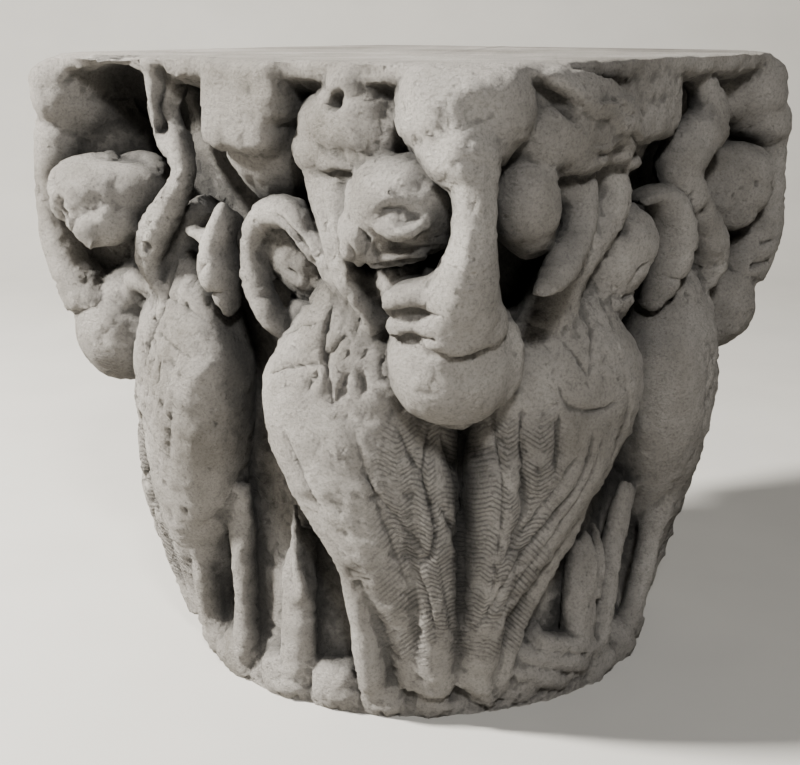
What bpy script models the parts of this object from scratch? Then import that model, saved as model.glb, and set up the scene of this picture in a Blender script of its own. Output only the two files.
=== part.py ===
"""Carved stone capital: a square top on a round foot, eight birds back to back under the corners.

One block of stone. Every form is given in shares of the block's height and is placed by stone_point(),
which turns shares into metres from the driving sizes. Run it in Blender's text editor or in the background.
"""

import math

import bmesh
import bpy
from mathutils import Vector

# Driving sizes, in metres
HEIGHT = 0.380
TOP_SIDE = 0.350
FOOT_DIAMETER = 0.292
FOOT_RING_HEIGHT = 0.012
TOP_EDGE_WEAR = 0.017

# How finely the stone is cut, in metres, and how many facets stay
CHISEL_STEP = 0.0042
FACETS = 9400

# The top's and the foot's widths in the shares of the height that the forms below were taken at
TOP_SHARE = 0.921
FOOT_SHARE = 0.768

NAME = "capital"
FACES = 4
SIDES = (-1, 1)
STONE_COLOUR = (0.52, 0.49, 0.44, 1.0)
STONE_ROUGHNESS = 0.9


def clear_scene():
    for thing in list(bpy.data.objects):
        bpy.data.objects.remove(thing, do_unlink=True)


def ease(t):
    t = min(max(t, 0.0), 1.0)
    return t * t * (3.0 - 2.0 * t)


def spread(z):
    """Metres to a share of width at a height: the foot's width governs below, the top's width above."""
    foot = FOOT_DIAMETER / FOOT_SHARE
    top = TOP_SIDE / TOP_SHARE
    return foot + (top - foot) * ease(z)


def stone_point(x, y, z):
    """Shares of the block to metres."""
    return Vector((x * spread(z), y * spread(z), z * HEIGHT))


def face_frame(face):
    """A face's own axes: along it, and straight out of it."""
    turn = math.radians(90.0 * face)
    along = Vector((math.cos(turn), math.sin(turn), 0.0))
    out = Vector((math.sin(turn), -math.cos(turn), 0.0))
    return along, out


def on_face(face, side, point):
    """A place on half a face: share along it from its middle, share out from the axis, share up."""
    along, out = face_frame(face)
    u, n, z = point
    return along * (u * side) + out * n + Vector((0.0, 0.0, z))


def corner_frame(corner):
    """A corner's own axes: sideways, and out along the diagonal."""
    turn = math.radians(90.0 * corner + 45.0)
    return Vector((math.cos(turn), math.sin(turn), 0.0)), Vector((math.sin(turn), -math.cos(turn), 0.0))


def on_corner(corner, point):
    """A place on a corner: share sideways from its line, share out along the diagonal, share up."""
    sideways, out = corner_frame(corner)
    s, r, z = point
    return sideways * s + out * r + Vector((0.0, 0.0, z))


def on_round(face, side, point):
    """A place given round the block: degrees from the face's middle, share out from the axis, share up."""
    degrees, r, z = point
    turn = math.radians(degrees)
    return on_face(face, side, (r * math.sin(turn), r * math.cos(turn), z))


def smooth_row(values, t):
    """A smooth curve through a row of numbers or vectors, read at t from 0 to its last index."""
    last = len(values) - 1
    i = min(int(t), last - 1)
    f = t - i
    a = values[max(i - 1, 0)]
    b = values[i]
    c = values[i + 1]
    d = values[min(i + 2, last)]
    return b + (c - a) * (0.5 * f) + (a - b * 2.5 + c * 2.0 - d * 0.5) * f ** 2 + (b - c) * (1.5 * f ** 3) \
        + (d - a) * (0.5 * f ** 3)


def limb(bm, places, widths, depths, out, steps=5, sides=16):
    """A tapering form swept through places, wide along the surface and deep along out."""
    rings = []
    count = (len(places) - 1) * steps
    for k in range(count + 1):
        t = k / steps
        centre = smooth_row(places, t)
        ahead = smooth_row(places, min(t + 0.05, len(places) - 1))
        behind = smooth_row(places, max(t - 0.05, 0.0))
        tangent = (ahead - behind).normalized()
        across = tangent.cross(out).normalized()
        lift = across.cross(tangent).normalized()
        width = max(smooth_row(widths, t), 0.002)
        depth = max(smooth_row(depths, t), 0.002)
        ring = []
        for j in range(sides):
            a = 2.0 * math.pi * j / sides
            p = centre + across * (width * math.cos(a)) + lift * (depth * math.sin(a))
            ring.append(bm.verts.new(stone_point(*p)))
        rings.append(ring)
    for lower, upper in zip(rings, rings[1:]):
        for j in range(sides):
            k = (j + 1) % sides
            bm.faces.new((lower[j], lower[k], upper[k], upper[j]))
    bm.faces.new(list(reversed(rings[0])))
    bm.faces.new(rings[-1])


def lump(bm, centre, radii, axes, squareness=2.0):
    """A rounded lump with its own axes; a squareness over 2 flattens its sides."""
    made = bmesh.ops.create_icosphere(bm, subdivisions=4, radius=1.0)["verts"]
    for vert in made:
        shaped = [math.copysign(abs(c) ** (2.0 / squareness), c) for c in vert.co]
        p = centre.copy()
        for share, radius, axis in zip(shaped, radii, axes):
            p += axis * (share * radius)
        vert.co = stone_point(*p)


def face_axes(face, side):
    along, out = face_frame(face)
    return along * side, out, Vector((0.0, 0.0, 1.0))


def corner_axes(corner, side=1):
    sideways, out = corner_frame(corner)
    return sideways * side, out, Vector((0.0, 0.0, 1.0))


def rounded_square(half, squareness, steps):
    """Points round a square with rounded corners."""
    points = []
    for k in range(steps):
        a = 2.0 * math.pi * k / steps
        c, s = math.cos(a), math.sin(a)
        r = half / (abs(c) ** squareness + abs(s) ** squareness) ** (1.0 / squareness)
        points.append((r * c, r * s))
    return points


def turned_block(bm, levels, steps=96):
    """A closed block of rounded squares: each level gives height, half width and squareness."""
    rings = []
    for z, half, squareness in levels:
        outline = rounded_square(half, squareness, steps)
        rings.append([bm.verts.new(stone_point(x, y, z)) for x, y in outline])
    for lower, upper in zip(rings, rings[1:]):
        for j in range(steps):
            k = (j + 1) % steps
            bm.faces.new((lower[j], lower[k], upper[k], upper[j]))
    bm.faces.new(list(reversed(rings[0])))
    bm.faces.new(rings[-1])


# The half faces: the kind of upper head, how the beast's long beak swings, and the bowed head's
# place and width
NEAR_LEFT = {
    "kind": "egg", "head": (0.196, 0.100), "bowed": (0.056, 0.066), "hood": True, "lined": True,
    "beak": ((0.158, 0.405, 0.852), (0.174, 0.420, 0.800), (0.193, 0.430, 0.738), (0.206, 0.425, 0.692),
             (0.230, 0.410, 0.640)),
    "beak_widths": (0.056, 0.040, 0.028, 0.022, 0.004),
}
NEAR_RIGHT = {
    "kind": "eared", "head": (0.210, 0.104), "bowed": (0.066, 0.080), "hood": False, "lined": False,
    "beak": ((0.224, 0.415, 0.856), (0.218, 0.432, 0.812), (0.230, 0.444, 0.778), (0.266, 0.452, 0.748),
             (0.308, 0.456, 0.722), (0.346, 0.456, 0.700)),
    "beak_widths": (0.044, 0.024, 0.018, 0.018, 0.019, 0.012),
}
FAR_LEFT = {
    "kind": "slender", "head": (0.172, 0.050), "bowed": (0.044, 0.048), "hood": False, "lined": True,
    "crown": ((0.172, 0.410, 0.990), (0.171, 0.424, 0.948), (0.171, 0.428, 0.918), (0.152, 0.428, 0.882),
              (0.126, 0.424, 0.846)),
    "crown_widths": (0.044, 0.039, 0.033, 0.028, 0.020),
    "beak": ((0.150, 0.420, 0.880), (0.124, 0.426, 0.838), (0.134, 0.436, 0.800), (0.166, 0.438, 0.758),
             (0.192, 0.438, 0.718), (0.202, 0.432, 0.680), (0.184, 0.422, 0.645), (0.148, 0.405, 0.612)),
    "beak_widths": (0.028, 0.019, 0.020, 0.026, 0.025, 0.017, 0.012, 0.004),
}
FAR_RIGHT = {
    "kind": "slender", "head": (0.212, 0.060), "bowed": (0.082, 0.052), "hood": False, "lined": False,
    "crown": ((0.120, 0.408, 0.992), (0.152, 0.420, 0.962), (0.180, 0.428, 0.922), (0.178, 0.430, 0.890),
              (0.132, 0.428, 0.868)),
    "crown_widths": (0.026, 0.020, 0.034, 0.042, 0.046),
    "beak": ((0.138, 0.424, 0.872), (0.100, 0.424, 0.834), (0.112, 0.430, 0.794), (0.150, 0.436, 0.755),
             (0.194, 0.436, 0.702), (0.212, 0.428, 0.652), (0.180, 0.410, 0.590)),
    "beak_widths": (0.046, 0.046, 0.034, 0.027, 0.031, 0.023, 0.005),
}
HALVES = {(0, 1): NEAR_LEFT, (0, -1): FAR_LEFT, (1, -1): NEAR_RIGHT, (1, 1): FAR_RIGHT,
          (2, -1): FAR_RIGHT, (2, 1): NEAR_LEFT, (3, -1): NEAR_RIGHT, (3, 1): FAR_LEFT}
# Each face's boss: how far off the middle, its half width, and how far out it stands
BOSSES = ((0.020, 0.082, 0.468), (-0.035, 0.124, 0.456), (0.0, 0.090, 0.464), (0.0, 0.090, 0.464))
# Each corner: its lean, its root's shift, half width and reach, and how far down its flank forms
# and its bulb sit
CORNERS = ((-0.018, 0.0, 0.088, 0.505, 0.0, 0.0), (0.0, 0.0, 0.086, 0.505, -0.020, -0.022),
           (0.0, 0.0, 0.080, 0.505, 0.0, 0.0), (0.0, -0.018, 0.070, 0.528, -0.028, -0.046))


def bell(bm):
    """The body of the stone behind the figures, from the round foot to the square top."""
    foot = FOOT_SHARE / 2.0
    ring = FOOT_RING_HEIGHT / HEIGHT
    turned_block(bm, [(-0.03, foot, 2.0), (ring * 0.6, foot, 2.0), (ring * 1.4, foot - 0.012, 2.05),
                      (0.09, 0.352, 2.1), (0.30, 0.335, 2.3), (0.55, 0.340, 2.8), (0.75, 0.352, 3.6),
                      (0.90, 0.362, 4.6), (0.95, 0.378, 5.5), (0.978, 0.414, 7.0), (0.990, 0.440, 7.0),
                      (1.02, 0.450, 7.0)])


def top_slab(bm):
    half = TOP_SHARE / 2.0
    turned_block(bm, [(0.966, half - 0.088, 7.0), (0.980, half - 0.036, 9.0), (0.992, half - 0.006, 10.0),
                      (1.02, half, 8.0)])


def face_boss(bm, face):
    """The plain block at the middle of a face, its underside sloping back."""
    axes = face_axes(face, 1)
    out = axes[1]
    shift, wide, front = BOSSES[face]
    lump(bm, on_face(face, 1, (0.7 * shift, front - 0.068, 0.934)), (0.84 * wide, 0.068, 0.064), axes,
         squareness=5.5)
    lump(bm, on_face(face, 1, (shift, front - 0.068, 0.975)), (wide, 0.068, 0.054), axes, squareness=4.5)
    back = (0.0, 0.026)[face % 2]
    slope = [on_face(face, 1, p) for p in ((0.7 * shift, 0.408 - back, 0.880),
                                           (0.7 * shift + 0.008, 0.384 - back, 0.835),
                                           (0.7 * shift + 0.016, 0.346 - back, 0.785))]
    limb(bm, slope, (0.76 * wide, 0.74 * wide, 0.60 * wide), (0.034, 0.030, 0.020), out)


def upper_head(bm, face, side, half):
    """The beast's head under the top: egg shaped, eared with a long muzzle, or slender."""
    axes = face_axes(face, side)
    out = axes[1]
    u, wide = half["head"]

    def at(a, n, z):
        return on_face(face, side, (a, n, z))

    if half["kind"] == "slender":
        widths = half["crown_widths"]
        limb(bm, [at(*p) for p in half["crown"]], widths, [0.5 * w + 0.012 for w in widths], out)
    elif half["kind"] == "eared":
        lump(bm, at(0.246, 0.406, 0.908), (0.104, 0.072, 0.056), axes, squareness=2.3)
        lump(bm, at(0.306, 0.404, 0.896), (0.058, 0.062, 0.042), axes, squareness=2.8)
        crown = ((0.352, 0.442, 0.990), (0.284, 0.462, 0.966), (0.214, 0.464, 0.942), (0.160, 0.458, 0.916),
                 (0.122, 0.440, 0.888))
        limb(bm, [at(*p) for p in crown], (0.008, 0.024, 0.034, 0.034, 0.022),
             (0.014, 0.022, 0.026, 0.026, 0.022), out)
        lump(bm, at(0.232, 0.416, 0.868), (0.078, 0.060, 0.028), axes)
        lump(bm, at(0.146, 0.420, 0.868), (0.036, 0.050, 0.019), axes)
    else:
        lump(bm, at(u, 0.392, 0.918), (wide, 0.074, 0.080), axes, squareness=2.2)
        lump(bm, at(u - 0.50 * wide, 0.396, 0.878), (0.60 * wide, 0.062, 0.046), axes)
        lump(bm, at(u - 0.02 * wide, 0.398, 0.868), (0.68 * wide, 0.062, 0.036), axes)
        lump(bm, at(u + 0.02, 0.398, 0.965), (0.60 * wide, 0.062, 0.040), axes)


def long_beak(bm, face, side, half):
    """The long tapering form from the beast's jaw, swinging past the bowed bird's neck."""
    out = face_axes(face, side)[1]
    widths = half["beak_widths"]
    limb(bm, [on_face(face, side, p) for p in half["beak"]], widths, [0.012 + 0.55 * w for w in widths],
         out)


def bowed_head(bm, face, side, half):
    """The bird's neck, up and over from its collar, and its round head bent down to its breast."""
    axes = face_axes(face, side)
    out = axes[1]

    def at(a, n, z):
        return on_face(face, side, (a, n, z))

    u, wide = half["bowed"]
    sunk = 0.0
    if half["kind"] == "eared":
        neck = [(0.206, 0.380, 0.636), (0.202, 0.398, 0.688), (0.178, 0.414, 0.736), (0.142, 0.424, 0.776),
                (0.110, 0.428, 0.810), (0.098, 0.420, 0.848)]
        widths = [0.050, 0.034, 0.027, 0.029, 0.031, 0.036]
    elif half["kind"] == "egg":
        neck = [(0.204, 0.380, 0.636), (0.190, 0.398, 0.684), (0.156, 0.414, 0.720), (0.126, 0.424, 0.752),
                (0.096, 0.428, 0.782), (0.056, 0.424, 0.786), (0.014, 0.414, 0.758), (-0.002, 0.410, 0.715),
                (0.008, 0.412, 0.672), (0.034, 0.412, 0.634), (0.060, 0.404, 0.598)]
        widths = [0.050, 0.034, 0.025, 0.022, 0.024, 0.024, 0.022, 0.020, 0.020, 0.018, 0.005]
        sunk = 0.016
    else:
        neck = [(0.204, 0.380, 0.636), (0.192, 0.392, 0.690), (0.156, 0.402, 0.742), (0.112, 0.410, 0.782),
                (0.066, 0.412, 0.796), (0.026, 0.404, 0.782)]
        widths = [0.050, 0.030, 0.024, 0.022, 0.022, 0.020]
    limb(bm, [at(*p) for p in neck], widths, [0.010 + 0.75 * w for w in widths], out)
    lump(bm, at(u, 0.400 - sunk, 0.730), (wide, 0.070, 0.068), axes)
    lump(bm, at(u + 0.012, 0.400 - sunk, 0.705), (wide * 0.92, 0.064, 0.054), axes)
    beak = ((u + 0.018, 0.402 - sunk, 0.690), (u + 0.020, 0.420 - sunk, 0.652), (u + 0.004, 0.404, 0.602))
    limb(bm, [at(*p) for p in beak], (wide * 0.80, wide * 0.62, 0.006), (0.044, 0.028, 0.010), out)


def bird(bm, face, side):
    """A bird's body, breast to the face's middle, with its tail down the corner and its outer leg."""
    out = on_round(face, side, (30.0, 1.0, 0.0))
    body = ((21.0, 0.385, 0.690), (22.5, 0.402, 0.640), (24.2, 0.410, 0.570), (24.6, 0.412, 0.480),
            (27.0, 0.405, 0.380), (30.5, 0.394, 0.280), (34.0, 0.378, 0.180), (37.0, 0.365, 0.060))
    limb(bm, [on_round(face, side, p) for p in body],
         (0.036, 0.085, 0.138, 0.142, 0.124, 0.098, 0.072, 0.052),
         (0.040, 0.062, 0.086, 0.090, 0.084, 0.074, 0.060, 0.046), out, sides=28)
    tail = ((36.5, 0.420, 0.500), (38.6, 0.430, 0.390), (39.6, 0.425, 0.270), (40.2, 0.402, 0.140),
            (40.0, 0.384, 0.050))
    limb(bm, [on_round(face, side, p) for p in tail], (0.034, 0.040, 0.036, 0.032, 0.028),
         (0.050, 0.062, 0.058, 0.044, 0.032), out)
    leg = ((21.5, 0.425, 0.340), (23.0, 0.420, 0.270), (25.5, 0.406, 0.190), (28.0, 0.390, 0.080))
    limb(bm, [on_round(face, side, p) for p in leg], (0.045, 0.032, 0.021, 0.020),
         (0.035, 0.030, 0.024, 0.022), out)


def inner_leg(bm, face, side):
    """The bird's other leg beside the face's middle, or a forked leaf stub where the stone has one."""
    out = on_round(face, side, (10.0, 1.0, 0.0))
    if (face, side) in ((0, 1), (1, -1), (2, 1), (3, -1)):
        stub = ((9.5, 0.350, 0.300), (9.5, 0.366, 0.235), (10.2, 0.374, 0.160), (11.0, 0.374, 0.060))
        limb(bm, [on_round(face, side, p) for p in stub], (0.022, 0.030, 0.036, 0.034),
             (0.016, 0.024, 0.028, 0.028), out)
        for tip, lean in ((7.0, 1.0), (13.5, -1.0)):
            prong = ((tip, 0.358, 0.345), (tip + lean, 0.376, 0.280), (tip + 2.0 * lean, 0.382, 0.205))
            limb(bm, [on_round(face, side, p) for p in prong], (0.004, 0.013, 0.016),
                 (0.005, 0.015, 0.016), out)
    else:
        shank = ((15.0, 0.372, 0.330), (13.0, 0.366, 0.260), (11.8, 0.370, 0.180), (11.0, 0.376, 0.070))
        limb(bm, [on_round(face, side, p) for p in shank], (0.034, 0.028, 0.020, 0.021),
             (0.024, 0.026, 0.024, 0.026), out)


def toes(bm, face, side):
    """Rounded toes gripping the foot ring, each bird's middle toes the longest."""
    for k, degrees in enumerate((4.5, 12.5, 21.0, 29.0, 37.0)):
        out = on_round(face, side, (degrees, 1.0, 0.0))
        lift = (0.0, 0.010, 0.018, 0.012, -0.004)[k]
        row = ((degrees, 0.345, 0.122 + lift), (degrees + 0.6, 0.379, 0.100 + lift),
               (degrees + 1.2, 0.391, 0.064),
               (degrees + 1.4, 0.376, 0.030))
        limb(bm, [on_round(face, side, p) for p in row], (0.020, 0.024, 0.025, 0.018),
             (0.016, 0.022, 0.024, 0.014),
             out, sides=12)


def crocket(bm, corner):
    """The corner's beast mask: root under the top, trunk, web to the bell, lips and hanging bulb."""
    axes = corner_axes(corner)
    out = axes[1]
    lean, shift, wide, reach, drop, sag = CORNERS[corner]

    def at(s, r, z):
        return on_corner(corner, (lean + s, r, z))

    lump(bm, at(shift, reach, 0.946), (wide, 0.110, 0.062), axes, squareness=3.2)
    lump(bm, at(shift, reach, 0.922), (0.92 * wide, 0.102, 0.048), axes, squareness=2.6)
    if corner == 0:
        lump(bm, at(0.094, 0.490, 0.958), (0.050, 0.060, 0.030), axes)
        lump(bm, at(-0.050, 0.545, 0.930), (0.040, 0.050, 0.040), axes)
    trunk = ((shift, 0.520, 0.935), (0.6 * shift - 0.008, 0.582, 0.886), (0.0, 0.598, 0.848),
             (0.0, 0.602, 0.800),
             (-0.002, 0.600, 0.758 + 0.5 * sag), (-0.008, 0.582, 0.712 + sag), (-0.010, 0.550, 0.655 + sag))
    limb(bm, [at(*p) for p in trunk], (0.98 * wide, 0.62 * wide, 0.030, 0.026, 0.032, 0.050, 0.068),
         (0.080, 0.052, 0.038, 0.034, 0.036, 0.046, 0.056), out)
    web = ((0.0, 0.450, 0.900), (0.0, 0.490, 0.780), (0.0, 0.470, 0.640), (0.0, 0.430, 0.520))
    limb(bm, [at(*p) for p in web], (0.040, 0.020, 0.026, 0.040), (0.070, 0.088, 0.080, 0.070), out)
    lump(bm, at(-0.010, 0.500, 0.602 + sag), (0.088, 0.086, 0.092), axes, squareness=2.15)
    lump(bm, at(0.0, 0.470, 0.640 + 0.5 * sag), (0.080, 0.080, 0.050), axes)
    for row, thick in ((((-0.040, 0.570, 0.706), (-0.074, 0.560, 0.700), (-0.102, 0.536, 0.688)), 1.0),
                       (((-0.050, 0.562, 0.662), (-0.076, 0.550, 0.660), (-0.098, 0.530, 0.654)), 0.75)):
        limb(bm, [at(s, r, z + sag) for s, r, z in row], (0.026 * thick, 0.024 * thick, 0.018 * thick),
             (0.022 * thick, 0.024 * thick, 0.020 * thick), out)


def side_head(bm, corner, side):
    """A beast's head on one flank of a corner, its muzzle down and away from the trunk."""
    axes = corner_axes(corner, side)
    out = axes[1]
    drop = CORNERS[corner][4]
    away = 0.03 if corner == 3 else 0.0

    def at(s, r, z):
        return on_corner(corner, (side * s, r + away, z + drop))

    lump(bm, at(0.096, 0.500, 0.820), (0.078, 0.078, 0.062), axes, squareness=2.2)
    lump(bm, at(0.090, 0.450, 0.820), (0.080, 0.080, 0.060), axes)
    lump(bm, at(0.140, 0.484, 0.778), (0.044, 0.056, 0.040), axes)
    lump(bm, at(0.080, 0.494, 0.776), (0.058, 0.064, 0.028), axes)
    nose = [at(*p) for p in ((0.118, 0.540, 0.790), (0.148, 0.524, 0.772), (0.166, 0.496, 0.748))]
    limb(bm, nose, (0.024, 0.028, 0.020), (0.016, 0.020, 0.018), out)
    if corner == 3:
        piece = [on_face(0, -1, p) for p in ((0.220, 0.350, 0.630), (0.262, 0.384, 0.644),
                                             (0.300, 0.396, 0.648))]
        limb(bm, piece, (0.030, 0.026, 0.018), (0.026, 0.024, 0.016), face_axes(0, 1)[1])
        return
    lip = [at(*p) for p in ((0.142, 0.520, 0.740), (0.112, 0.542, 0.748), (0.070, 0.552, 0.756))]
    limb(bm, lip, (0.009, 0.012, 0.007), (0.010, 0.012, 0.008), out)
    lump(bm, at(0.085, 0.452, 0.708), (0.048, 0.070, 0.046), axes)


def side_ball(bm, corner, side):
    """The plain ball on the other flank of a corner."""
    axes = corner_axes(corner, side)
    drop = CORNERS[corner][4]
    away = -0.6 * drop

    def at(s, r, z):
        return on_corner(corner, (side * s, r + away, z + drop))

    lump(bm, at(0.064, 0.505, 0.822), (0.050, 0.072, 0.066), axes, squareness=2.3)
    lump(bm, at(0.066, 0.460, 0.815), (0.056, 0.070, 0.068), axes)
    lump(bm, at(0.072, 0.500, 0.778), (0.036, 0.052, 0.036), axes)


def carved_mesh():
    """All the forms as closed shells that run into each other."""
    bm = bmesh.new()
    bell(bm)
    top_slab(bm)
    for face in range(FACES):
        face_boss(bm, face)
        for side in SIDES:
            half = HALVES[(face, side)]
            upper_head(bm, face, side, half)
            long_beak(bm, face, side, half)
            bowed_head(bm, face, side, half)
            bird(bm, face, side)
            inner_leg(bm, face, side)
            toes(bm, face, side)
        crocket(bm, face)
        head_side = -1 if face % 2 == 0 else 1
        side_head(bm, face, head_side)
        side_ball(bm, face, -head_side)
    bmesh.ops.recalc_face_normals(bm, faces=bm.faces)
    mesh = bpy.data.meshes.new(NAME)
    bm.to_mesh(mesh)
    bm.free()
    return mesh


def settle(thing):
    """Turn an object's modifiers into its mesh."""
    graph = bpy.context.evaluated_depsgraph_get()
    settled = bpy.data.meshes.new_from_object(thing.evaluated_get(graph))
    thing.modifiers.clear()
    thing.data = settled


def fill_pockets(mesh):
    """Keep the outer skin alone: a small closed pocket between forms is solid stone."""
    bm = bmesh.new()
    bm.from_mesh(mesh)
    waiting = set(bm.verts)
    skins = []
    while waiting:
        edge = [waiting.pop()]
        skin = list(edge)
        while edge:
            near = {e.other_vert(v) for v in edge for e in v.link_edges} & waiting
            waiting -= near
            edge = list(near)
            skin += edge
        skins.append(skin)
    skins.sort(key=len)
    bmesh.ops.delete(bm, geom=[v for skin in skins[:-1] for v in skin], context="VERTS")
    bm.to_mesh(mesh)
    bm.free()


def wear_top(mesh):
    """Round the top's edge over everything that reaches it, the front and left corners most."""
    power = 7.0
    for vert in mesh.vertices:
        z = vert.co.z / HEIGHT
        x = vert.co.x / spread(z)
        y = vert.co.y / spread(z)
        front = max(1.0 - math.hypot(x - 0.43, y + 0.43) / 0.30, 0.0)
        left = min(max(1.2 - math.hypot(x + 0.46, y + 0.46) / 0.22, 0.0), 1.6)
        extra = max(front, left)
        band = TOP_EDGE_WEAR / HEIGHT + 0.020 * extra
        t = min(max((z - (1.0 - band)) / band, 0.0), 1.0)
        reach = (abs(x) ** power + abs(y) ** power) ** (1.0 / power)
        limit = TOP_SHARE * 0.48 - 0.012 * extra + (0.052 + 0.012 * extra) * math.sqrt(1.0 - t * t)
        if t > 0.0 and reach > limit:
            pull = (reach - 0.94 * (reach - limit)) / reach
            vert.co.x *= pull
            vert.co.y *= pull


def fuse(thing):
    """Join the shells into one skin, wear its top edge, and keep the facets that carry the form."""
    remesh = thing.modifiers.new("one skin", "REMESH")
    remesh.mode = "VOXEL"
    remesh.voxel_size = CHISEL_STEP
    ease_joints = thing.modifiers.new("worn joints", "SMOOTH")
    ease_joints.factor = 0.5
    ease_joints.iterations = 4
    settle(thing)
    fill_pockets(thing.data)
    wear_top(thing.data)
    fewer = thing.modifiers.new("facets", "DECIMATE")
    fewer.use_collapse_triangulate = True
    fewer.ratio = FACETS / sum(len(p.vertices) - 2 for p in thing.data.polygons)
    settle(thing)


def flat_bed(bm, z, up):
    """Saw the stone flat at a height, and close the cut."""
    everything = list(bm.verts) + list(bm.edges) + list(bm.faces)
    cut = bmesh.ops.bisect_plane(bm, geom=everything, dist=1e-6, plane_co=(0.0, 0.0, z),
                                 plane_no=(0.0, 0.0, up), clear_outer=True)["geom_cut"]
    rim = [e for e in cut if isinstance(e, bmesh.types.BMEdge)]
    for vert in {v for e in rim for v in e.verts}:
        vert.co.z = z
    bmesh.ops.edgeloop_fill(bm, edges=rim)


def saw_beds(thing):
    bm = bmesh.new()
    bm.from_mesh(thing.data)
    flat_bed(bm, HEIGHT, 1.0)
    flat_bed(bm, 0.0, -1.0)
    bmesh.ops.recalc_face_normals(bm, faces=bm.faces)
    bm.to_mesh(thing.data)
    bm.free()


def stone():
    material = bpy.data.materials.new("carved pale stone")
    material.use_nodes = True
    shader = material.node_tree.nodes["Principled BSDF"]
    shader.inputs["Base Color"].default_value = STONE_COLOUR
    shader.inputs["Roughness"].default_value = STONE_ROUGHNESS
    shader.inputs["Metallic"].default_value = 0.0
    return material


def main():
    clear_scene()
    capital = bpy.data.objects.new(NAME, carved_mesh())
    bpy.context.scene.collection.objects.link(capital)
    fuse(capital)
    saw_beds(capital)
    capital.data.materials.append(stone())
    capital.data.shade_smooth()
    capital.data.set_sharp_from_angle(angle=math.radians(50.0))


main()
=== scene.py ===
"""The carved capital, finely cut, standing on a pale floor in soft light from the left."""

import math

import bmesh
import bpy
import numpy as np
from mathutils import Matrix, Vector, bvhtree, kdtree, noise


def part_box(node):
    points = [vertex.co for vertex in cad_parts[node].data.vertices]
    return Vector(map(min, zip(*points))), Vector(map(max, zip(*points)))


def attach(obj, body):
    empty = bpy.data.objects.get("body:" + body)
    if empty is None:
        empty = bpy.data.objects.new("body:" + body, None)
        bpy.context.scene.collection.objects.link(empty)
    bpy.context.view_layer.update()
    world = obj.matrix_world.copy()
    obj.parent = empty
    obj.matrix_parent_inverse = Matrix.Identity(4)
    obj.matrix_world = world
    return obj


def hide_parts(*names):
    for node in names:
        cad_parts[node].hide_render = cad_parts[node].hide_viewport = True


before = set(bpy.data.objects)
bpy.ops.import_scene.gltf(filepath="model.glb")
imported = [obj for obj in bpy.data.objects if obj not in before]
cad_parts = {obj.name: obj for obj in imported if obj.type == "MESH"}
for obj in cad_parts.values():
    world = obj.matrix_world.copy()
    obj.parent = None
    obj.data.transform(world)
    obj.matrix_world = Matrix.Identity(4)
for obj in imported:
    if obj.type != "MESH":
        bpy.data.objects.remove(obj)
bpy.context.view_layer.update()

low, high = (Vector(corner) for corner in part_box("capital"))
HEIGHT = high.z - low.z
# The top's side, the foot's width and the foot ring's height, all as shares of the stone's height
TOP_SHARE = 0.921
FOOT_SHARE = 0.768
RING_SHARE = 0.012 / 0.380
# Where a form is placed by degrees round from a face's middle, its cuts are measured at this radius
ROUND_RADIUS = 0.43
LEAST_THICKNESS = 0.002
FACES = 4
SIDES = (-1, 1)
# The finest step of the carved skin in metres, and how many triangles it may keep
FINE_STEP = 0.0018
FINE_FACETS = 194000
# The feathers' fine strokes, in metres from one to the next
BARB_PITCH = 0.0029
PITS = 260
SKY_RAYS = 14
SKY_REACH = 0.16
SEED = 11


def stone_point(x, y, z):
    return Vector((x, y, z)) * HEIGHT


def turned_frame(degrees):
    """Two level axes, turned round the stone: along a face, and straight out of it."""
    turn = math.radians(degrees)
    return Vector((math.cos(turn), math.sin(turn), 0.0)), Vector((math.sin(turn), -math.cos(turn), 0.0))


def face_frame(face):
    return turned_frame(90.0 * face)


def on_face(face, side, point):
    along, out = face_frame(face)
    u, n, z = point
    return along * (u * side) + out * n + Vector((0.0, 0.0, z))


def corner_frame(corner):
    return turned_frame(90.0 * corner + 45.0)


def on_corner(corner, point):
    sideways, out = corner_frame(corner)
    s, r, z = point
    return sideways * s + out * r + Vector((0.0, 0.0, z))


def on_round(face, side, point):
    degrees, r, z = point
    turn = math.radians(degrees)
    return on_face(face, side, (r * math.sin(turn), r * math.cos(turn), z))


def smooth_row(values, t):
    """A smooth curve through a row of numbers or vectors, read at t from 0 to its last index."""
    last = len(values) - 1
    i = min(int(t), last - 1)
    f = t - i
    a = values[max(i - 1, 0)]
    b = values[i]
    c = values[i + 1]
    d = values[min(i + 2, last)]
    return b + (c - a) * (0.5 * f) + (a - b * 2.5 + c * 2.0 - d * 0.5) * f ** 2 + (b - c) * (1.5 * f ** 3) \
        + (d - a) * (0.5 * f ** 3)


def close_rings(bm, rings):
    """Skin a row of rings and close both its ends."""
    for lower, upper in zip(rings, rings[1:]):
        for j in range(len(lower)):
            k = (j + 1) % len(lower)
            bm.faces.new((lower[j], lower[k], upper[k], upper[j]))
    bm.faces.new(list(reversed(rings[0])))
    bm.faces.new(rings[-1])


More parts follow.
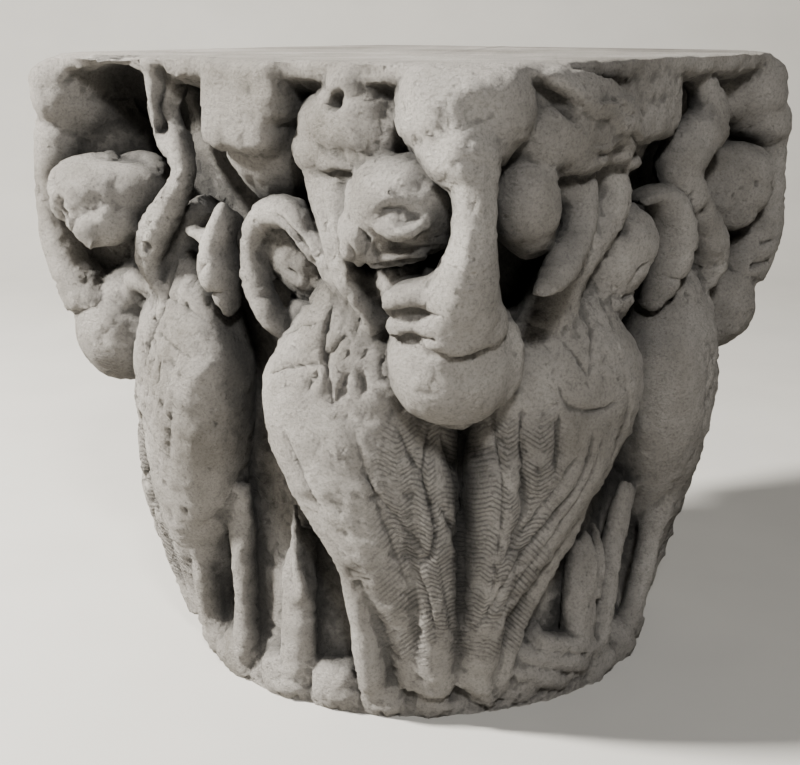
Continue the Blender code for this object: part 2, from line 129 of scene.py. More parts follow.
def limb(bm, places, widths, depths, out, steps=6, sides=20):
    """A tapering form swept through places, wide along the surface and deep along out."""
    rings = []
    count = (len(places) - 1) * steps
    for k in range(count + 1):
        t = k / steps
        centre = smooth_row(places, t)
        ahead = smooth_row(places, min(t + 0.05, len(places) - 1))
        behind = smooth_row(places, max(t - 0.05, 0.0))
        tangent = (ahead - behind).normalized()
        across = tangent.cross(out).normalized()
        lift = across.cross(tangent).normalized()
        width = max(smooth_row(widths, t), LEAST_THICKNESS)
        depth = max(smooth_row(depths, t), LEAST_THICKNESS)
        ring = []
        for j in range(sides):
            a = 2.0 * math.pi * j / sides
            p = centre + across * (width * math.cos(a)) + lift * (depth * math.sin(a))
            ring.append(bm.verts.new(stone_point(*p)))
        rings.append(ring)
    close_rings(bm, rings)


def swept(bm, place, row, widths, depths, out, sides=20):
    """A limb whose row of points is placed by a function of its own: on a face, a corner or round."""
    limb(bm, [place(*point) for point in row], widths, depths, out, sides=sides)


def lump(bm, centre, radii, axes, squareness=2.0):
    """A rounded lump with its own axes; a squareness over 2 flattens its sides."""
    made = bmesh.ops.create_icosphere(bm, subdivisions=5, radius=1.0)["verts"]
    for vert in made:
        shaped = [math.copysign(abs(c) ** (2.0 / squareness), c) for c in vert.co]
        p = centre.copy()
        for share, radius, axis in zip(shaped, radii, axes):
            p += axis * (share * radius)
        vert.co = stone_point(*p)


def face_axes(face, side):
    along, out = face_frame(face)
    return along * side, out, Vector((0.0, 0.0, 1.0))


def corner_axes(corner, side=1):
    sideways, out = corner_frame(corner)
    return sideways * side, out, Vector((0.0, 0.0, 1.0))


def rounded_square(half, squareness, steps):
    points = []
    for k in range(steps):
        a = 2.0 * math.pi * k / steps
        c, s = math.cos(a), math.sin(a)
        r = half / (abs(c) ** squareness + abs(s) ** squareness) ** (1.0 / squareness)
        points.append((r * c, r * s))
    return points


def turned_block(bm, levels, steps=160):
    """A closed block of rounded squares: each level gives height, half width and squareness."""
    rings = []
    for z, half, squareness in levels:
        rings.append([bm.verts.new(stone_point(x, y, z)) for x, y in rounded_square(half, squareness, steps)])
    close_rings(bm, rings)


# The half faces. On a face a point is across from its middle, out, and up, all as shares of the height. Round
# the stone it is degrees from the face's middle, radius, and up. kind is the upper head's, slim thins the
# bird's flank, head and bowed are places and half widths, and a toe is start, top, end, base and half width.
NEAR_LEFT = {
    "kind": "egg", "slim": 0.35,
    "head": (0.196, 0.100), "bowed": (0.056, 0.066), "hood": True, "lined": True,
    "beak": ((0.158, 0.405, 0.852), (0.174, 0.420, 0.800), (0.193, 0.430, 0.738), (0.206, 0.425, 0.692),
             (0.230, 0.410, 0.640)),
    "beak_widths": (0.056, 0.040, 0.028, 0.022, 0.004),
    "toes": ((1.0, 0.076, 2.5, 0.036, 0.046), (15.0, 0.086, 17.0, 0.048, 0.041),
             (26.5, 0.073, 29.5, 0.036, 0.036), (39.0, 0.058, 41.0, 0.028, 0.030)),
    "leg": ((21.0, 0.425, 0.345), (23.0, 0.420, 0.275), (24.5, 0.410, 0.190), (26.0, 0.394, 0.085)),
    "leg_widths": (0.045, 0.030, 0.024, 0.024),
    "stub": ((6.0, 0.352, 0.280), (6.5, 0.368, 0.215), (6.5, 0.376, 0.150), (6.0, 0.374, 0.060)),
    "prongs": (((4.2, 0.362, 0.318), (6.8, 0.381, 0.250), (9.2, 0.386, 0.180)),
               ((3.0, 0.360, 0.258), (4.2, 0.379, 0.205), (5.2, 0.385, 0.140))),
}
NEAR_RIGHT = {
    "kind": "eared", "slim": 1.4,
    "head": (0.210, 0.104), "bowed": (0.066, 0.080), "hood": False, "lined": False,
    "beak": ((0.224, 0.415, 0.856), (0.218, 0.432, 0.812), (0.230, 0.444, 0.778), (0.266, 0.452, 0.748),
             (0.308, 0.456, 0.722), (0.346, 0.456, 0.700)),
    "beak_widths": (0.046, 0.030, 0.023, 0.020, 0.018, 0.004),
    "toes": ((33.0, 0.078, 19.0, 0.032, 0.026), (29.0, 0.096, 11.0, 0.048, 0.025),
             (24.0, 0.110, 6.0, 0.066, 0.021), (40.0, 0.050, 37.0, 0.028, 0.030)),
    "leg": ((23.0, 0.418, 0.340), (25.5, 0.412, 0.262), (29.6, 0.406, 0.195), (32.6, 0.400, 0.140),
            (34.5, 0.388, 0.070)),
    "leg_widths": (0.040, 0.024, 0.017, 0.016, 0.020),
    "stub": ((8.5, 0.352, 0.245), (9.5, 0.368, 0.200), (10.5, 0.376, 0.140), (11.0, 0.374, 0.060)),
    "prongs": (((7.2, 0.364, 0.262), (8.2, 0.382, 0.215), (10.0, 0.386, 0.160)),
               ((3.0, 0.360, 0.268), (4.8, 0.380, 0.215), (7.0, 0.386, 0.155))),
}
FAR_LEFT = {
    "kind": "slender", "slim": 0.2,
    "head": (0.172, 0.050), "bowed": (0.044, 0.048), "hood": False, "lined": True,
    "crown": ((0.172, 0.410, 0.990), (0.171, 0.424, 0.948), (0.171, 0.428, 0.918), (0.152, 0.428, 0.882),
              (0.126, 0.424, 0.846)),
    "crown_widths": (0.044, 0.039, 0.033, 0.028, 0.020),
    "beak": ((0.150, 0.420, 0.880), (0.124, 0.426, 0.838), (0.134, 0.436, 0.800), (0.166, 0.438, 0.758),
             (0.192, 0.438, 0.718), (0.202, 0.432, 0.680), (0.184, 0.422, 0.645), (0.148, 0.405, 0.612)),
    "beak_widths": (0.028, 0.019, 0.020, 0.026, 0.025, 0.017, 0.012, 0.004),
    "leaf": ((0.048, 0.405, 0.778), (0.050, 0.420, 0.756), (0.060, 0.424, 0.722), (0.058, 0.424, 0.694),
             (0.052, 0.416, 0.660), (0.048, 0.404, 0.622)),
    "leaf_widths": (0.018, 0.019, 0.024, 0.029, 0.019, 0.005),
    "toes": ((16.5, 0.078, 15.0, 0.042, 0.047), (31.0, 0.076, 29.0, 0.040, 0.041),
             (41.5, 0.058, 41.0, 0.028, 0.030)),
    "leg": ((21.5, 0.425, 0.340), (24.0, 0.415, 0.260), (27.0, 0.402, 0.180), (29.0, 0.390, 0.080)),
    "leg_widths": (0.045, 0.028, 0.018, 0.018),
    "stub": ((15.5, 0.376, 0.330), (14.5, 0.372, 0.260), (13.0, 0.374, 0.180), (11.5, 0.378, 0.070)),
    "prongs": (),
}
FAR_RIGHT = {
    "kind": "slender", "slim": 0.2,
    "head": (0.212, 0.060), "bowed": (0.082, 0.052), "hood": False, "lined": False,
    "crown": ((0.120, 0.408, 0.992), (0.152, 0.420, 0.962), (0.180, 0.428, 0.922), (0.178, 0.430, 0.890),
              (0.132, 0.428, 0.868)),
    "crown_widths": (0.026, 0.020, 0.034, 0.042, 0.046),
    "beak": ((0.138, 0.424, 0.872), (0.100, 0.424, 0.834), (0.112, 0.430, 0.794), (0.150, 0.436, 0.755),
             (0.194, 0.436, 0.702), (0.212, 0.428, 0.652), (0.180, 0.410, 0.590)),
    "beak_widths": (0.046, 0.046, 0.034, 0.027, 0.031, 0.023, 0.005),
    "leaf": ((0.010, 0.398, 0.784), (0.040, 0.414, 0.792), (0.074, 0.422, 0.766), (0.088, 0.424, 0.716),
             (0.078, 0.418, 0.664), (0.052, 0.402, 0.612)),
    "leaf_widths": (0.007, 0.016, 0.025, 0.030, 0.022, 0.005),
    "toes": ((-3.0, 0.088, -5.0, 0.038, 0.037), (9.0, 0.074, 12.0, 0.033, 0.034),
             (24.0, 0.070, 26.0, 0.032, 0.034), (38.0, 0.058, 39.0, 0.028, 0.030)),
    "leg": ((22.0, 0.425, 0.340), (22.0, 0.418, 0.262), (19.0, 0.404, 0.180), (14.5, 0.390, 0.080)),
    "leg_widths": (0.045, 0.028, 0.017, 0.017),
    "stub": ((12.0, 0.378, 0.310), (6.0, 0.374, 0.240), (0.5, 0.374, 0.175), (-2.5, 0.376, 0.075)),
    "prongs": (),
}
HALVES = {(0, 1): NEAR_LEFT, (0, -1): FAR_LEFT, (1, -1): NEAR_RIGHT, (1, 1): FAR_RIGHT,
          (2, -1): FAR_RIGHT, (2, 1): NEAR_LEFT, (3, -1): NEAR_RIGHT, (3, 1): FAR_LEFT}
# Each face's boss: how far off the middle, its half width, and how far out it stands
BOSSES = ((0.020, 0.082, 0.468), (-0.030, 0.128, 0.452), (0.0, 0.090, 0.464), (0.0, 0.090, 0.464))
# Each corner: lean, its root's shift, half width and reach, and what its flank forms and its bulb are raised by
CORNERS = ((-0.018, 0.0, 0.088, 0.505, 0.0, 0.0), (0.0, 0.0, 0.086, 0.505, -0.020, -0.022),
           (0.0, 0.0, 0.080, 0.505, 0.0, 0.0), (0.0, -0.018, 0.070, 0.528, -0.028, -0.046))


def bell(bm):
    """The body of the stone behind the figures, from the round foot to the square top."""
    foot = FOOT_SHARE / 2.0
    turned_block(bm, [(-0.03, foot, 2.0), (RING_SHARE * 0.6, foot, 2.0), (RING_SHARE * 1.4, foot - 0.012, 2.05),
                      (0.09, 0.352, 2.1), (0.30, 0.335, 2.3), (0.55, 0.340, 2.8), (0.75, 0.352, 3.6),
                      (0.90, 0.362, 4.6), (0.95, 0.378, 5.5), (0.978, 0.414, 7.0), (0.990, 0.440, 7.0),
                      (1.02, 0.450, 7.0)])


def top_slab(bm):
    """The square top, its underside worn back to the bell."""
    half = TOP_SHARE / 2.0
    turned_block(bm, [(0.950, half - 0.088, 7.0), (0.962, half - 0.036, 9.0), (0.976, half - 0.008, 10.0),
                      (1.02, half, 8.0)])


def face_boss(bm, face):
    """The plain block at the middle of a face, its underside sloping back."""
    axes = face_axes(face, 1)
    out = axes[1]
    shift, wide, front = BOSSES[face]
    deep = 0.068
    foot = 0.7 * shift

    def at(a, n, z):
        return on_face(face, 1, (a, n, z))

    square = (5.5, 3.6)[face % 2]
    lump(bm, at(foot, front - deep, 0.934), (0.84 * wide, deep, 0.064), axes, squareness=square)
    lump(bm, at(shift, front - deep, 0.968), (wide, deep, 0.062), axes, squareness=square - 0.6)
    back = (0.0, 0.026)[face % 2]
    slope = ((foot, 0.408 - back, 0.880), (foot + 0.008, 0.384 - back, 0.835),
             (foot + 0.016, 0.346 - back, 0.785))
    swept(bm, at, slope, (0.76 * wide, 0.74 * wide, 0.60 * wide), (0.034, 0.030, 0.020), out)


def upper_head(bm, face, side, half):
    """The beast's head under the top: egg shaped, eared with a long muzzle, or slender."""
    axes = face_axes(face, side)
    out = axes[1]
    u, wide = half["head"]

    def at(a, n, z):
        return on_face(face, side, (a, n, z))

    if half["kind"] == "slender":
        widths = half["crown_widths"]
        swept(bm, at, half["crown"], widths, [0.5 * w + 0.012 for w in widths], out)
    elif half["kind"] == "eared":
        lump(bm, at(0.244, 0.412, 0.906), (0.104, 0.074, 0.056), axes, squareness=2.3)
        lump(bm, at(0.300, 0.404, 0.896), (0.056, 0.064, 0.042), axes, squareness=2.6)
        crown = ((0.352, 0.446, 0.990), (0.284, 0.470, 0.964), (0.214, 0.474, 0.940), (0.160, 0.470, 0.914),
                 (0.122, 0.452, 0.886))
        swept(bm, at, crown, (0.008, 0.024, 0.034, 0.034, 0.022), (0.014, 0.022, 0.026, 0.026, 0.022), out)
        lump(bm, at(0.232, 0.416, 0.868), (0.078, 0.060, 0.028), axes)
        lump(bm, at(0.150, 0.426, 0.870), (0.040, 0.050, 0.022), axes)
        lump(bm, at(0.104, 0.412, 0.856), (0.040, 0.052, 0.022), axes)
    else:
        lump(bm, at(u, 0.394, 0.905), (wide, 0.074, 0.070), axes, squareness=2.1)
        lump(bm, at(u + 0.010, 0.394, 0.930), (0.78 * wide, 0.072, 0.070), axes)
        lump(bm, at(u - 0.50 * wide, 0.396, 0.878), (0.60 * wide, 0.062, 0.046), axes)
        lump(bm, at(u - 0.02 * wide, 0.398, 0.868), (0.68 * wide, 0.062, 0.036), axes)
        lump(bm, at(u + 0.014, 0.404, 0.970), (0.46 * wide, 0.064, 0.040), axes)


def long_beak(bm, face, side, half):
    """The long tapering form from the beast's jaw, swinging past the bowed bird's neck."""
    out = face_axes(face, side)[1]
    widths = half["beak_widths"]
    limb(bm, [on_face(face, side, p) for p in half["beak"]], widths, [0.012 + 0.55 * w for w in widths], out)


def bowed_head(bm, face, side, half):
    """The bird's neck from its collar, and its round head bent down, or a leaf where it has one."""
    axes = face_axes(face, side)
    out = axes[1]

    def at(a, n, z):
        return on_face(face, side, (a, n, z))

    u, wide = half["bowed"]
    sunk = 0.0
    if half["kind"] == "eared":
        neck = [(0.206, 0.380, 0.636), (0.202, 0.398, 0.688), (0.178, 0.414, 0.736), (0.142, 0.424, 0.776),
                (0.126, 0.424, 0.812), (0.128, 0.412, 0.850)]
        widths = [0.050, 0.038, 0.034, 0.036, 0.038, 0.040]
    elif half["kind"] == "egg":
        neck = [(0.204, 0.380, 0.636), (0.190, 0.398, 0.684), (0.156, 0.414, 0.720), (0.126, 0.424, 0.752),
                (0.096, 0.428, 0.782), (0.056, 0.424, 0.786), (0.014, 0.414, 0.758), (-0.002, 0.410, 0.715),
                (0.008, 0.412, 0.672), (0.034, 0.412, 0.634), (0.060, 0.404, 0.598)]
        widths = [0.050, 0.034, 0.025, 0.022, 0.024, 0.024, 0.022, 0.020, 0.020, 0.018, 0.005]
        sunk = 0.052
    else:
        neck = [(0.204, 0.380, 0.636), (0.196, 0.386, 0.690), (0.168, 0.386, 0.742), (0.120, 0.380, 0.780)]
        widths = [0.050, 0.030, 0.024, 0.020]
    swept(bm, at, neck, widths, [0.010 + 0.75 * w for w in widths], out)
    if half["kind"] == "eared":
        between = ((0.176, 0.408, 0.850), (0.186, 0.410, 0.795), (0.222, 0.420, 0.735), (0.262, 0.426, 0.694))
        swept(bm, at, between, (0.034, 0.032, 0.030, 0.010), (0.030, 0.030, 0.028, 0.014), out)
    if half["kind"] == "slender":
        widths = half["leaf_widths"]
        swept(bm, at, half["leaf"], widths, [0.016 + 0.8 * w for w in widths], out)
        if half["lined"]:
            thorn = ((0.070, 0.428, 0.738), (0.098, 0.432, 0.744), (0.116, 0.428, 0.746))
            swept(bm, at, thorn, (0.014, 0.009, 0.006), (0.014, 0.010, 0.008), out)
        return
    lump(bm, at(u, 0.400 - sunk, 0.730), (wide, 0.070, 0.068), axes)
    lump(bm, at(u + 0.012, 0.400 - sunk, 0.705), (wide * 0.92, 0.064, 0.054), axes)
    beak = ((u + 0.018, 0.402 - sunk, 0.690), (u + 0.020, 0.420 - sunk, 0.652), (u + 0.004, 0.404, 0.602))
    swept(bm, at, beak, (wide * 0.80, wide * 0.62, 0.006), (0.044, 0.028, 0.010), out)


def bird(bm, face, side, half):
    """A bird's body, breast to the face's middle and tail down the corner, with its outer leg."""
    def at(degrees, r, z):
        return on_round(face, side, (degrees, r, z))

    out = at(30.0, 1.0, 0.0)
    slim = half["slim"]
    body = ((21.0, 0.385, 0.690), (22.5, 0.402, 0.640), (24.2, 0.410, 0.570), (24.6 + slim, 0.412, 0.480),
            (27.0 + 2.2 * slim, 0.405, 0.380), (30.5 + 3.2 * slim, 0.394, 0.280),
            (34.0 + 4.0 * slim, 0.378, 0.180), (37.0 + 4.0 * slim, 0.365, 0.060))
    widths = (0.036, 0.085, 0.138, 0.142 - 0.006 * slim, 0.124 - 0.014 * slim, 0.098 - 0.022 * slim,
              0.072 - 0.022 * slim, 0.052 - 0.012 * slim)
    swept(bm, at, body, widths, (0.040, 0.062, 0.086, 0.090, 0.084, 0.074, 0.060, 0.046), out, sides=40)
    tail = ((36.5, 0.420, 0.500), (38.6, 0.430, 0.390), (39.6, 0.425, 0.270), (40.2, 0.402, 0.140),
            (40.0, 0.384, 0.050))
    swept(bm, at, tail, (0.034, 0.040, 0.036, 0.032, 0.028), (0.050, 0.062, 0.058, 0.044, 0.032), out)
    widths = half["leg_widths"] + (0.9 * half["leg_widths"][-1],)
    leg = half["leg"] + ((half["leg"][-1][0], 0.368, 0.030),)
    swept(bm, at, leg, widths, [0.006 + 0.9 * w for w in widths], out)


def inner_leg(bm, face, side, half):
    """The bird's other leg beside the face's middle, or a forked leaf stub where the stone has one."""
    def at(degrees, r, z):
        return on_round(face, side, (degrees, r, z))

    out = at(10.0, 1.0, 0.0)
    widths = (0.012, 0.026, 0.031, 0.030, 0.028) if half["prongs"] else (0.034, 0.027, 0.018, 0.019, 0.018)
    stub = half["stub"] + ((half["stub"][-1][0], 0.362, 0.028),)
    swept(bm, at, stub, widths, (0.014, 0.018, 0.022, 0.024, 0.022), out)
    for prong in half["prongs"]:
        swept(bm, at, prong, (0.003, 0.010, 0.011), (0.005, 0.015, 0.013), out)


def round_axes(face, side, degrees):
    across = on_round(face, side, (degrees + 90.0, 1.0, 0.0))
    return across, on_round(face, side, (degrees, 1.0, 0.0)), Vector((0.0, 0.0, 1.0))


def rounded_toes(bm, face, side, half):
    """Low worn toes on the foot ring, each a squarish lump with a lower one against its flank."""
    for start, top, end, _, wide in half["toes"]:
        middle = 0.5 * (start + end)
        axes = round_axes(face, side, middle)
        lump(bm, on_round(face, side, (middle, 0.360, 0.42 * top)), (0.96 * wide, 0.036, 0.52 * top), axes,
             squareness=2.9)
        lump(bm, on_round(face, side, (start + 3.0, 0.358, 0.30 * top)), (0.80 * wide, 0.042, 0.30 * top),
             axes, squareness=2.4)


def fanned_toes(bm, face, side, half):
    """Long low toes that fan out over a worn mass on the foot ring."""
    axes = round_axes(face, side, 17.5)
    lump(bm, on_round(face, side, (17.5, 0.356, 0.040)), (0.060, 0.034, 0.044), axes)
    lump(bm, on_round(face, side, (29.0, 0.360, 0.034)), (0.046, 0.038, 0.034), axes)
    for start, top, end, base, wide in half["toes"]:
        middle = 0.5 * (start + end)
        row = ((start, 0.352, top + 0.012), (start, 0.374, top - 0.004), (middle, 0.380, 0.5 * (top + base)),
               (end, 0.376, base), (end, 0.362, base - 0.014))
        widths = [share * wide for share in (0.4, 0.6, 0.66, 0.6, 0.4)]
        limb(bm, [on_round(face, side, p) for p in row], widths, (0.014, 0.024, 0.026, 0.024, 0.012),
             round_axes(face, side, middle)[1], sides=16)


def crocket(bm, corner):
    """The corner's beast mask: root, trunk, web to the bell, hanging bulb, and lips on all corners but one."""
    axes = corner_axes(corner)
    out = axes[1]
    lean, shift, wide, reach, _, sag = CORNERS[corner]

    def at(s, r, z):
        return on_corner(corner, (lean + s, r, z))

    lump(bm, at(shift, reach, 0.946), (wide, 0.110, 0.062), axes, squareness=3.2)
    lump(bm, at(shift, reach, 0.922), (0.92 * wide, 0.102, 0.048), axes, squareness=2.6)
    if corner == 0:
        lump(bm, at(0.094, 0.490, 0.958), (0.050, 0.060, 0.030), axes)
        lump(bm, at(-0.050, 0.545, 0.930), (0.040, 0.050, 0.040), axes)
    trunk = ((shift, 0.520, 0.935), (0.6 * shift - 0.008, 0.582, 0.886), (0.0, 0.598, 0.848),
             (0.0, 0.602, 0.800), (-0.002, 0.600, 0.758 + 0.5 * sag), (-0.008, 0.582, 0.712 + sag),
             (-0.010, 0.550, 0.655 + sag))
    swept(bm, at, trunk, (0.98 * wide, 0.62 * wide, 0.030, 0.026, 0.032, 0.050, 0.068),
          (0.080, 0.052, 0.038, 0.034, 0.036, 0.046, 0.056), out)
    if corner == 0:
        ear = ((0.062, 0.524, 0.660), (0.072, 0.520, 0.625), (0.072, 0.514, 0.580), (0.058, 0.520, 0.545))
        swept(bm, at, ear, (0.006, 0.012, 0.012, 0.004), (0.014, 0.022, 0.020, 0.010), out)
    web = ((0.0, 0.450, 0.900), (0.0, 0.490, 0.780), (0.0, 0.470, 0.640), (0.0, 0.430, 0.520))
    swept(bm, at, web, (0.040, 0.020, 0.026, 0.040), (0.070, 0.088, 0.080, 0.070), out)
    lump(bm, at(-0.010, 0.500, 0.602 + sag), (0.088, 0.086, 0.092), axes, squareness=2.15)
    lump(bm, at(0.0, 0.470, 0.640 + 0.5 * sag), (0.080, 0.080, 0.050), axes)
    if corner == 1:
        return
    for row, thick in ((((-0.040, 0.570, 0.706), (-0.074, 0.560, 0.700), (-0.102, 0.536, 0.688)), 1.0),
                       (((-0.050, 0.562, 0.662), (-0.076, 0.550, 0.660), (-0.098, 0.530, 0.654)), 0.75)):
        limb(bm, [at(s, r, z + sag) for s, r, z in row], (0.026 * thick, 0.024 * thick, 0.018 * thick),
             (0.022 * thick, 0.024 * thick, 0.020 * thick), out)


def side_head(bm, corner, side):
    """A beast's head on one flank of a corner, its muzzle down and away from the trunk."""
    axes = corner_axes(corner, side)
    out = axes[1]
    drop = CORNERS[corner][4]
    away = 0.03 if corner == 3 else 0.0

    def at(s, r, z):
        return on_corner(corner, (side * s, r + away, z + drop))

    lump(bm, at(0.096, 0.500, 0.820), (0.078, 0.078, 0.062), axes, squareness=2.2)
    lump(bm, at(0.090, 0.450, 0.820), (0.080, 0.080, 0.060), axes)
    lump(bm, at(0.140, 0.484, 0.778), (0.044, 0.056, 0.040), axes)
    lump(bm, at(0.080, 0.494, 0.776), (0.058, 0.064, 0.028), axes)
    nose = ((0.118, 0.540, 0.790), (0.148, 0.524, 0.772), (0.166, 0.496, 0.748))
    swept(bm, at, nose, (0.024, 0.028, 0.020), (0.016, 0.020, 0.018), out)
    if corner == 3:
        rest = ((0.220, 0.350, 0.630), (0.262, 0.384, 0.644), (0.300, 0.396, 0.648))
        limb(bm, [on_face(0, -1, p) for p in rest], (0.030, 0.026, 0.018), (0.026, 0.024, 0.016),
             face_axes(0, 1)[1])
        return
    if corner == 0:
        lump(bm, at(0.112, 0.562, 0.804), (0.023, 0.014, 0.013), axes)
        lid = ((0.146, 0.548, 0.800), (0.122, 0.572, 0.786), (0.094, 0.580, 0.789), (0.068, 0.574, 0.812))
        swept(bm, at, lid, (0.004, 0.009, 0.009, 0.004), (0.006, 0.011, 0.011, 0.006), out)
        brow = ((0.152, 0.526, 0.822), (0.124, 0.552, 0.838), (0.088, 0.562, 0.840))
        swept(bm, at, brow, (0.006, 0.013, 0.006), (0.006, 0.010, 0.006), out)
    lip = ((0.142, 0.520, 0.740), (0.112, 0.542, 0.748), (0.070, 0.552, 0.756))
    swept(bm, at, lip, (0.009, 0.012, 0.007), (0.010, 0.012, 0.008), out)
    lump(bm, at(0.085, 0.452, 0.708), (0.048, 0.070, 0.046), axes)


def side_ball(bm, corner, side):
    """The plain ball on the other flank of a corner."""
    axes = corner_axes(corner, side)
    drop = CORNERS[corner][4]
    away = -0.6 * drop

    def at(s, r, z):
        return on_corner(corner, (side * s, r + away, z + 1.7 * drop))

    lump(bm, at(0.064, 0.505, 0.822), (0.050, 0.072, 0.066), axes, squareness=2.3)
    lump(bm, at(0.066, 0.460, 0.815), (0.056, 0.070, 0.068), axes)
    lump(bm, at(0.072, 0.500, 0.778), (0.036, 0.052, 0.036), axes)


def eye_and_brow(bm, face, side):
    """Small raised forms on an eared head."""
    axes = face_axes(face, side)
    lump(bm, on_face(face, side, (0.194, 0.482, 0.940)), (0.014, 0.011, 0.011), axes)
    brow = ((0.230, 0.478, 0.964), (0.202, 0.486, 0.962), (0.168, 0.478, 0.944))
    limb(bm, [on_face(face, side, p) for p in brow], (0.005, 0.009, 0.004), (0.006, 0.009, 0.005), axes[1])


def carved_mesh():
    """All the forms as closed shells that run into each other."""
    bm = bmesh.new()
    bell(bm)
    top_slab(bm)
    for face in range(FACES):
        face_boss(bm, face)
        for side in SIDES:
            half = HALVES[(face, side)]
            upper_head(bm, face, side, half)
            long_beak(bm, face, side, half)
            bowed_head(bm, face, side, half)
            if half["kind"] == "eared":
                eye_and_brow(bm, face, side)
            bird(bm, face, side, half)
            inner_leg(bm, face, side, half)
            if half["kind"] == "eared":
                fanned_toes(bm, face, side, half)
            else:
                rounded_toes(bm, face, side, half)
        crocket(bm, face)
        head_side = -1 if face % 2 == 0 else 1
        side_head(bm, face, head_side)
        side_ball(bm, face, -head_side)
    bmesh.ops.recalc_face_normals(bm, faces=bm.faces)
    mesh = bpy.data.meshes.new("carved forms")
    bm.to_mesh(mesh)
    bm.free()
    return mesh


def settle(thing):
    """Turn an object's modifiers into its mesh."""
    graph = bpy.context.evaluated_depsgraph_get()
    settled = bpy.data.meshes.new_from_object(thing.evaluated_get(graph))
    thing.modifiers.clear()
    thing.data = settled


class Skin:
    """The stone's skin as arrays in shares of the height, with the tools that work it."""

    def __init__(self, mesh):
        count = len(mesh.vertices)
        self.mesh = mesh
        self.places = np.empty(count * 3, dtype=np.float32)
        mesh.vertices.foreach_get("co", self.places)
        self.places = self.places.reshape(-1, 3).astype(np.float64) / HEIGHT
        pairs = np.empty(len(mesh.edges) * 2, dtype=np.int32)
        mesh.edges.foreach_get("vertices", pairs)
        self.pairs = pairs.reshape(-1, 2)
        self.degree = np.bincount(self.pairs.ravel(), minlength=count).astype(np.float64)
        self.views = {}
        self.read_normals()

    def write(self):
        self.mesh.vertices.foreach_set("co", (self.places * HEIGHT).astype(np.float32).ravel())
        self.mesh.update()

    def read_normals(self):
        self.write()
        found = np.empty(len(self.mesh.vertices) * 3, dtype=np.float32)
        self.mesh.vertex_normals.foreach_get("vector", found)
        self.normals = found.reshape(-1, 3).astype(np.float64)
        self.views = {}

    def mean(self, values):
        """Each vertex's neighbours' mean of some values."""
        a, b = self.pairs[:, 0], self.pairs[:, 1]
        if values.ndim == 1:
            total = np.bincount(a, values[b], len(values)) + np.bincount(b, values[a], len(values))
            return total / self.degree
        return np.stack([self.mean(values[:, k]) for k in range(values.shape[1])], axis=1)

    def view(self, kind, where, side=1):
        """Every place seen square on from a face, a corner or round a face: across, up, outward, facing."""
        key = (kind, where, side)
        if key not in self.views:
            across, out = corner_frame(where) if kind == "corner" else face_frame(where)
            across = np.array(across) * side
            out = np.array(out)
            x = self.places @ across
            n = self.places @ out
            if kind == "round":
                turn = np.arctan2(x, n)
                radial = np.outer(np.sin(turn), across) + np.outer(np.cos(turn), out)
                facing = np.einsum("ij,ij->i", self.normals, radial)
                self.views[key] = (np.degrees(turn), self.places[:, 2].copy(), np.hypot(x, n), facing)
            else:
                self.views[key] = (x, self.places[:, 2].copy(), n, self.normals @ out)
        return self.views[key]

    def push(self, amount):
        """Move the skin along its own outward direction."""
        self.places += self.normals * amount[:, None]

    def stroke(self, kind, where, side, row, width, depth, least=0.0, sharp=1.6, facing=0.1):
        """Cut a groove, or raise a ridge where depth is negative, along a smooth row of places."""
        across, up, outward, faces = self.view(kind, where, side)
        scale = math.radians(ROUND_RADIUS) if kind == "round" else 1.0
        last = len(row) - 1
        steps = max(6, 7 * last)
        corners = [Vector((p[0] * scale, p[1], 0.0)) for p in row]
        points = [smooth_row(corners, last * k / steps) for k in range(steps + 1)]
        xs = np.array([p.x for p in points])
        zs = np.array([p.y for p in points])
        reach = 2.2 * width
        x = across * scale
        near = (x > xs.min() - reach) & (x < xs.max() + reach)
        near &= (up > zs.min() - reach) & (up < zs.max() + reach)
        near &= (outward > least) & (faces > facing)
        index = np.nonzero(near)[0]
        if not len(index):
            return
        best = np.full(len(index), 9.0)
        part = np.zeros(len(index))
        px, pz = x[index], up[index]
        for k in range(steps):
            dx, dz = xs[k + 1] - xs[k], zs[k + 1] - zs[k]
            long = dx * dx + dz * dz + 1e-12
            t = np.clip(((px - xs[k]) * dx + (pz - zs[k]) * dz) / long, 0.0, 1.0)
            far = np.hypot(px - xs[k] - t * dx, pz - zs[k] - t * dz)
            closer = far < best
            best = np.where(closer, far, best)
            part = np.where(closer, (k + t) / steps, part)
        fade = np.sqrt(np.clip(np.sin(np.pi * np.clip(part, 0.02, 0.98)), 0.0, 1.0))
        shape = np.exp(-(best / (width * (0.45 + 0.55 * fade))) ** sharp * 1.2)
        rim = np.clip((faces[index] - facing) / 0.25, 0.0, 1.0)
        amount = np.zeros(len(across))
        amount[index] = -depth * shape * fade * rim
        self.push(amount)

    def dent(self, kind, where, side, centre, radii, depth, least=0.0, facing=0.0, turn=0.0):
        """Press in a soft hollow, or raise a swelling where depth is negative."""
        across, up, outward, faces = self.view(kind, where, side)
        scale = math.radians(ROUND_RADIUS) if kind == "round" else 1.0
        dx = (across - centre[0]) * scale
        dz = up - centre[1]
        c, s = math.cos(math.radians(turn)), math.sin(math.radians(turn))
        far = np.hypot((dx * c + dz * s) / radii[0], (dz * c - dx * s) / radii[1])
        amount = -depth * np.exp(-(far ** 2.4)) * (outward > least) * np.clip((faces - facing) / 0.2, 0.0, 1.0)
        self.push(amount)


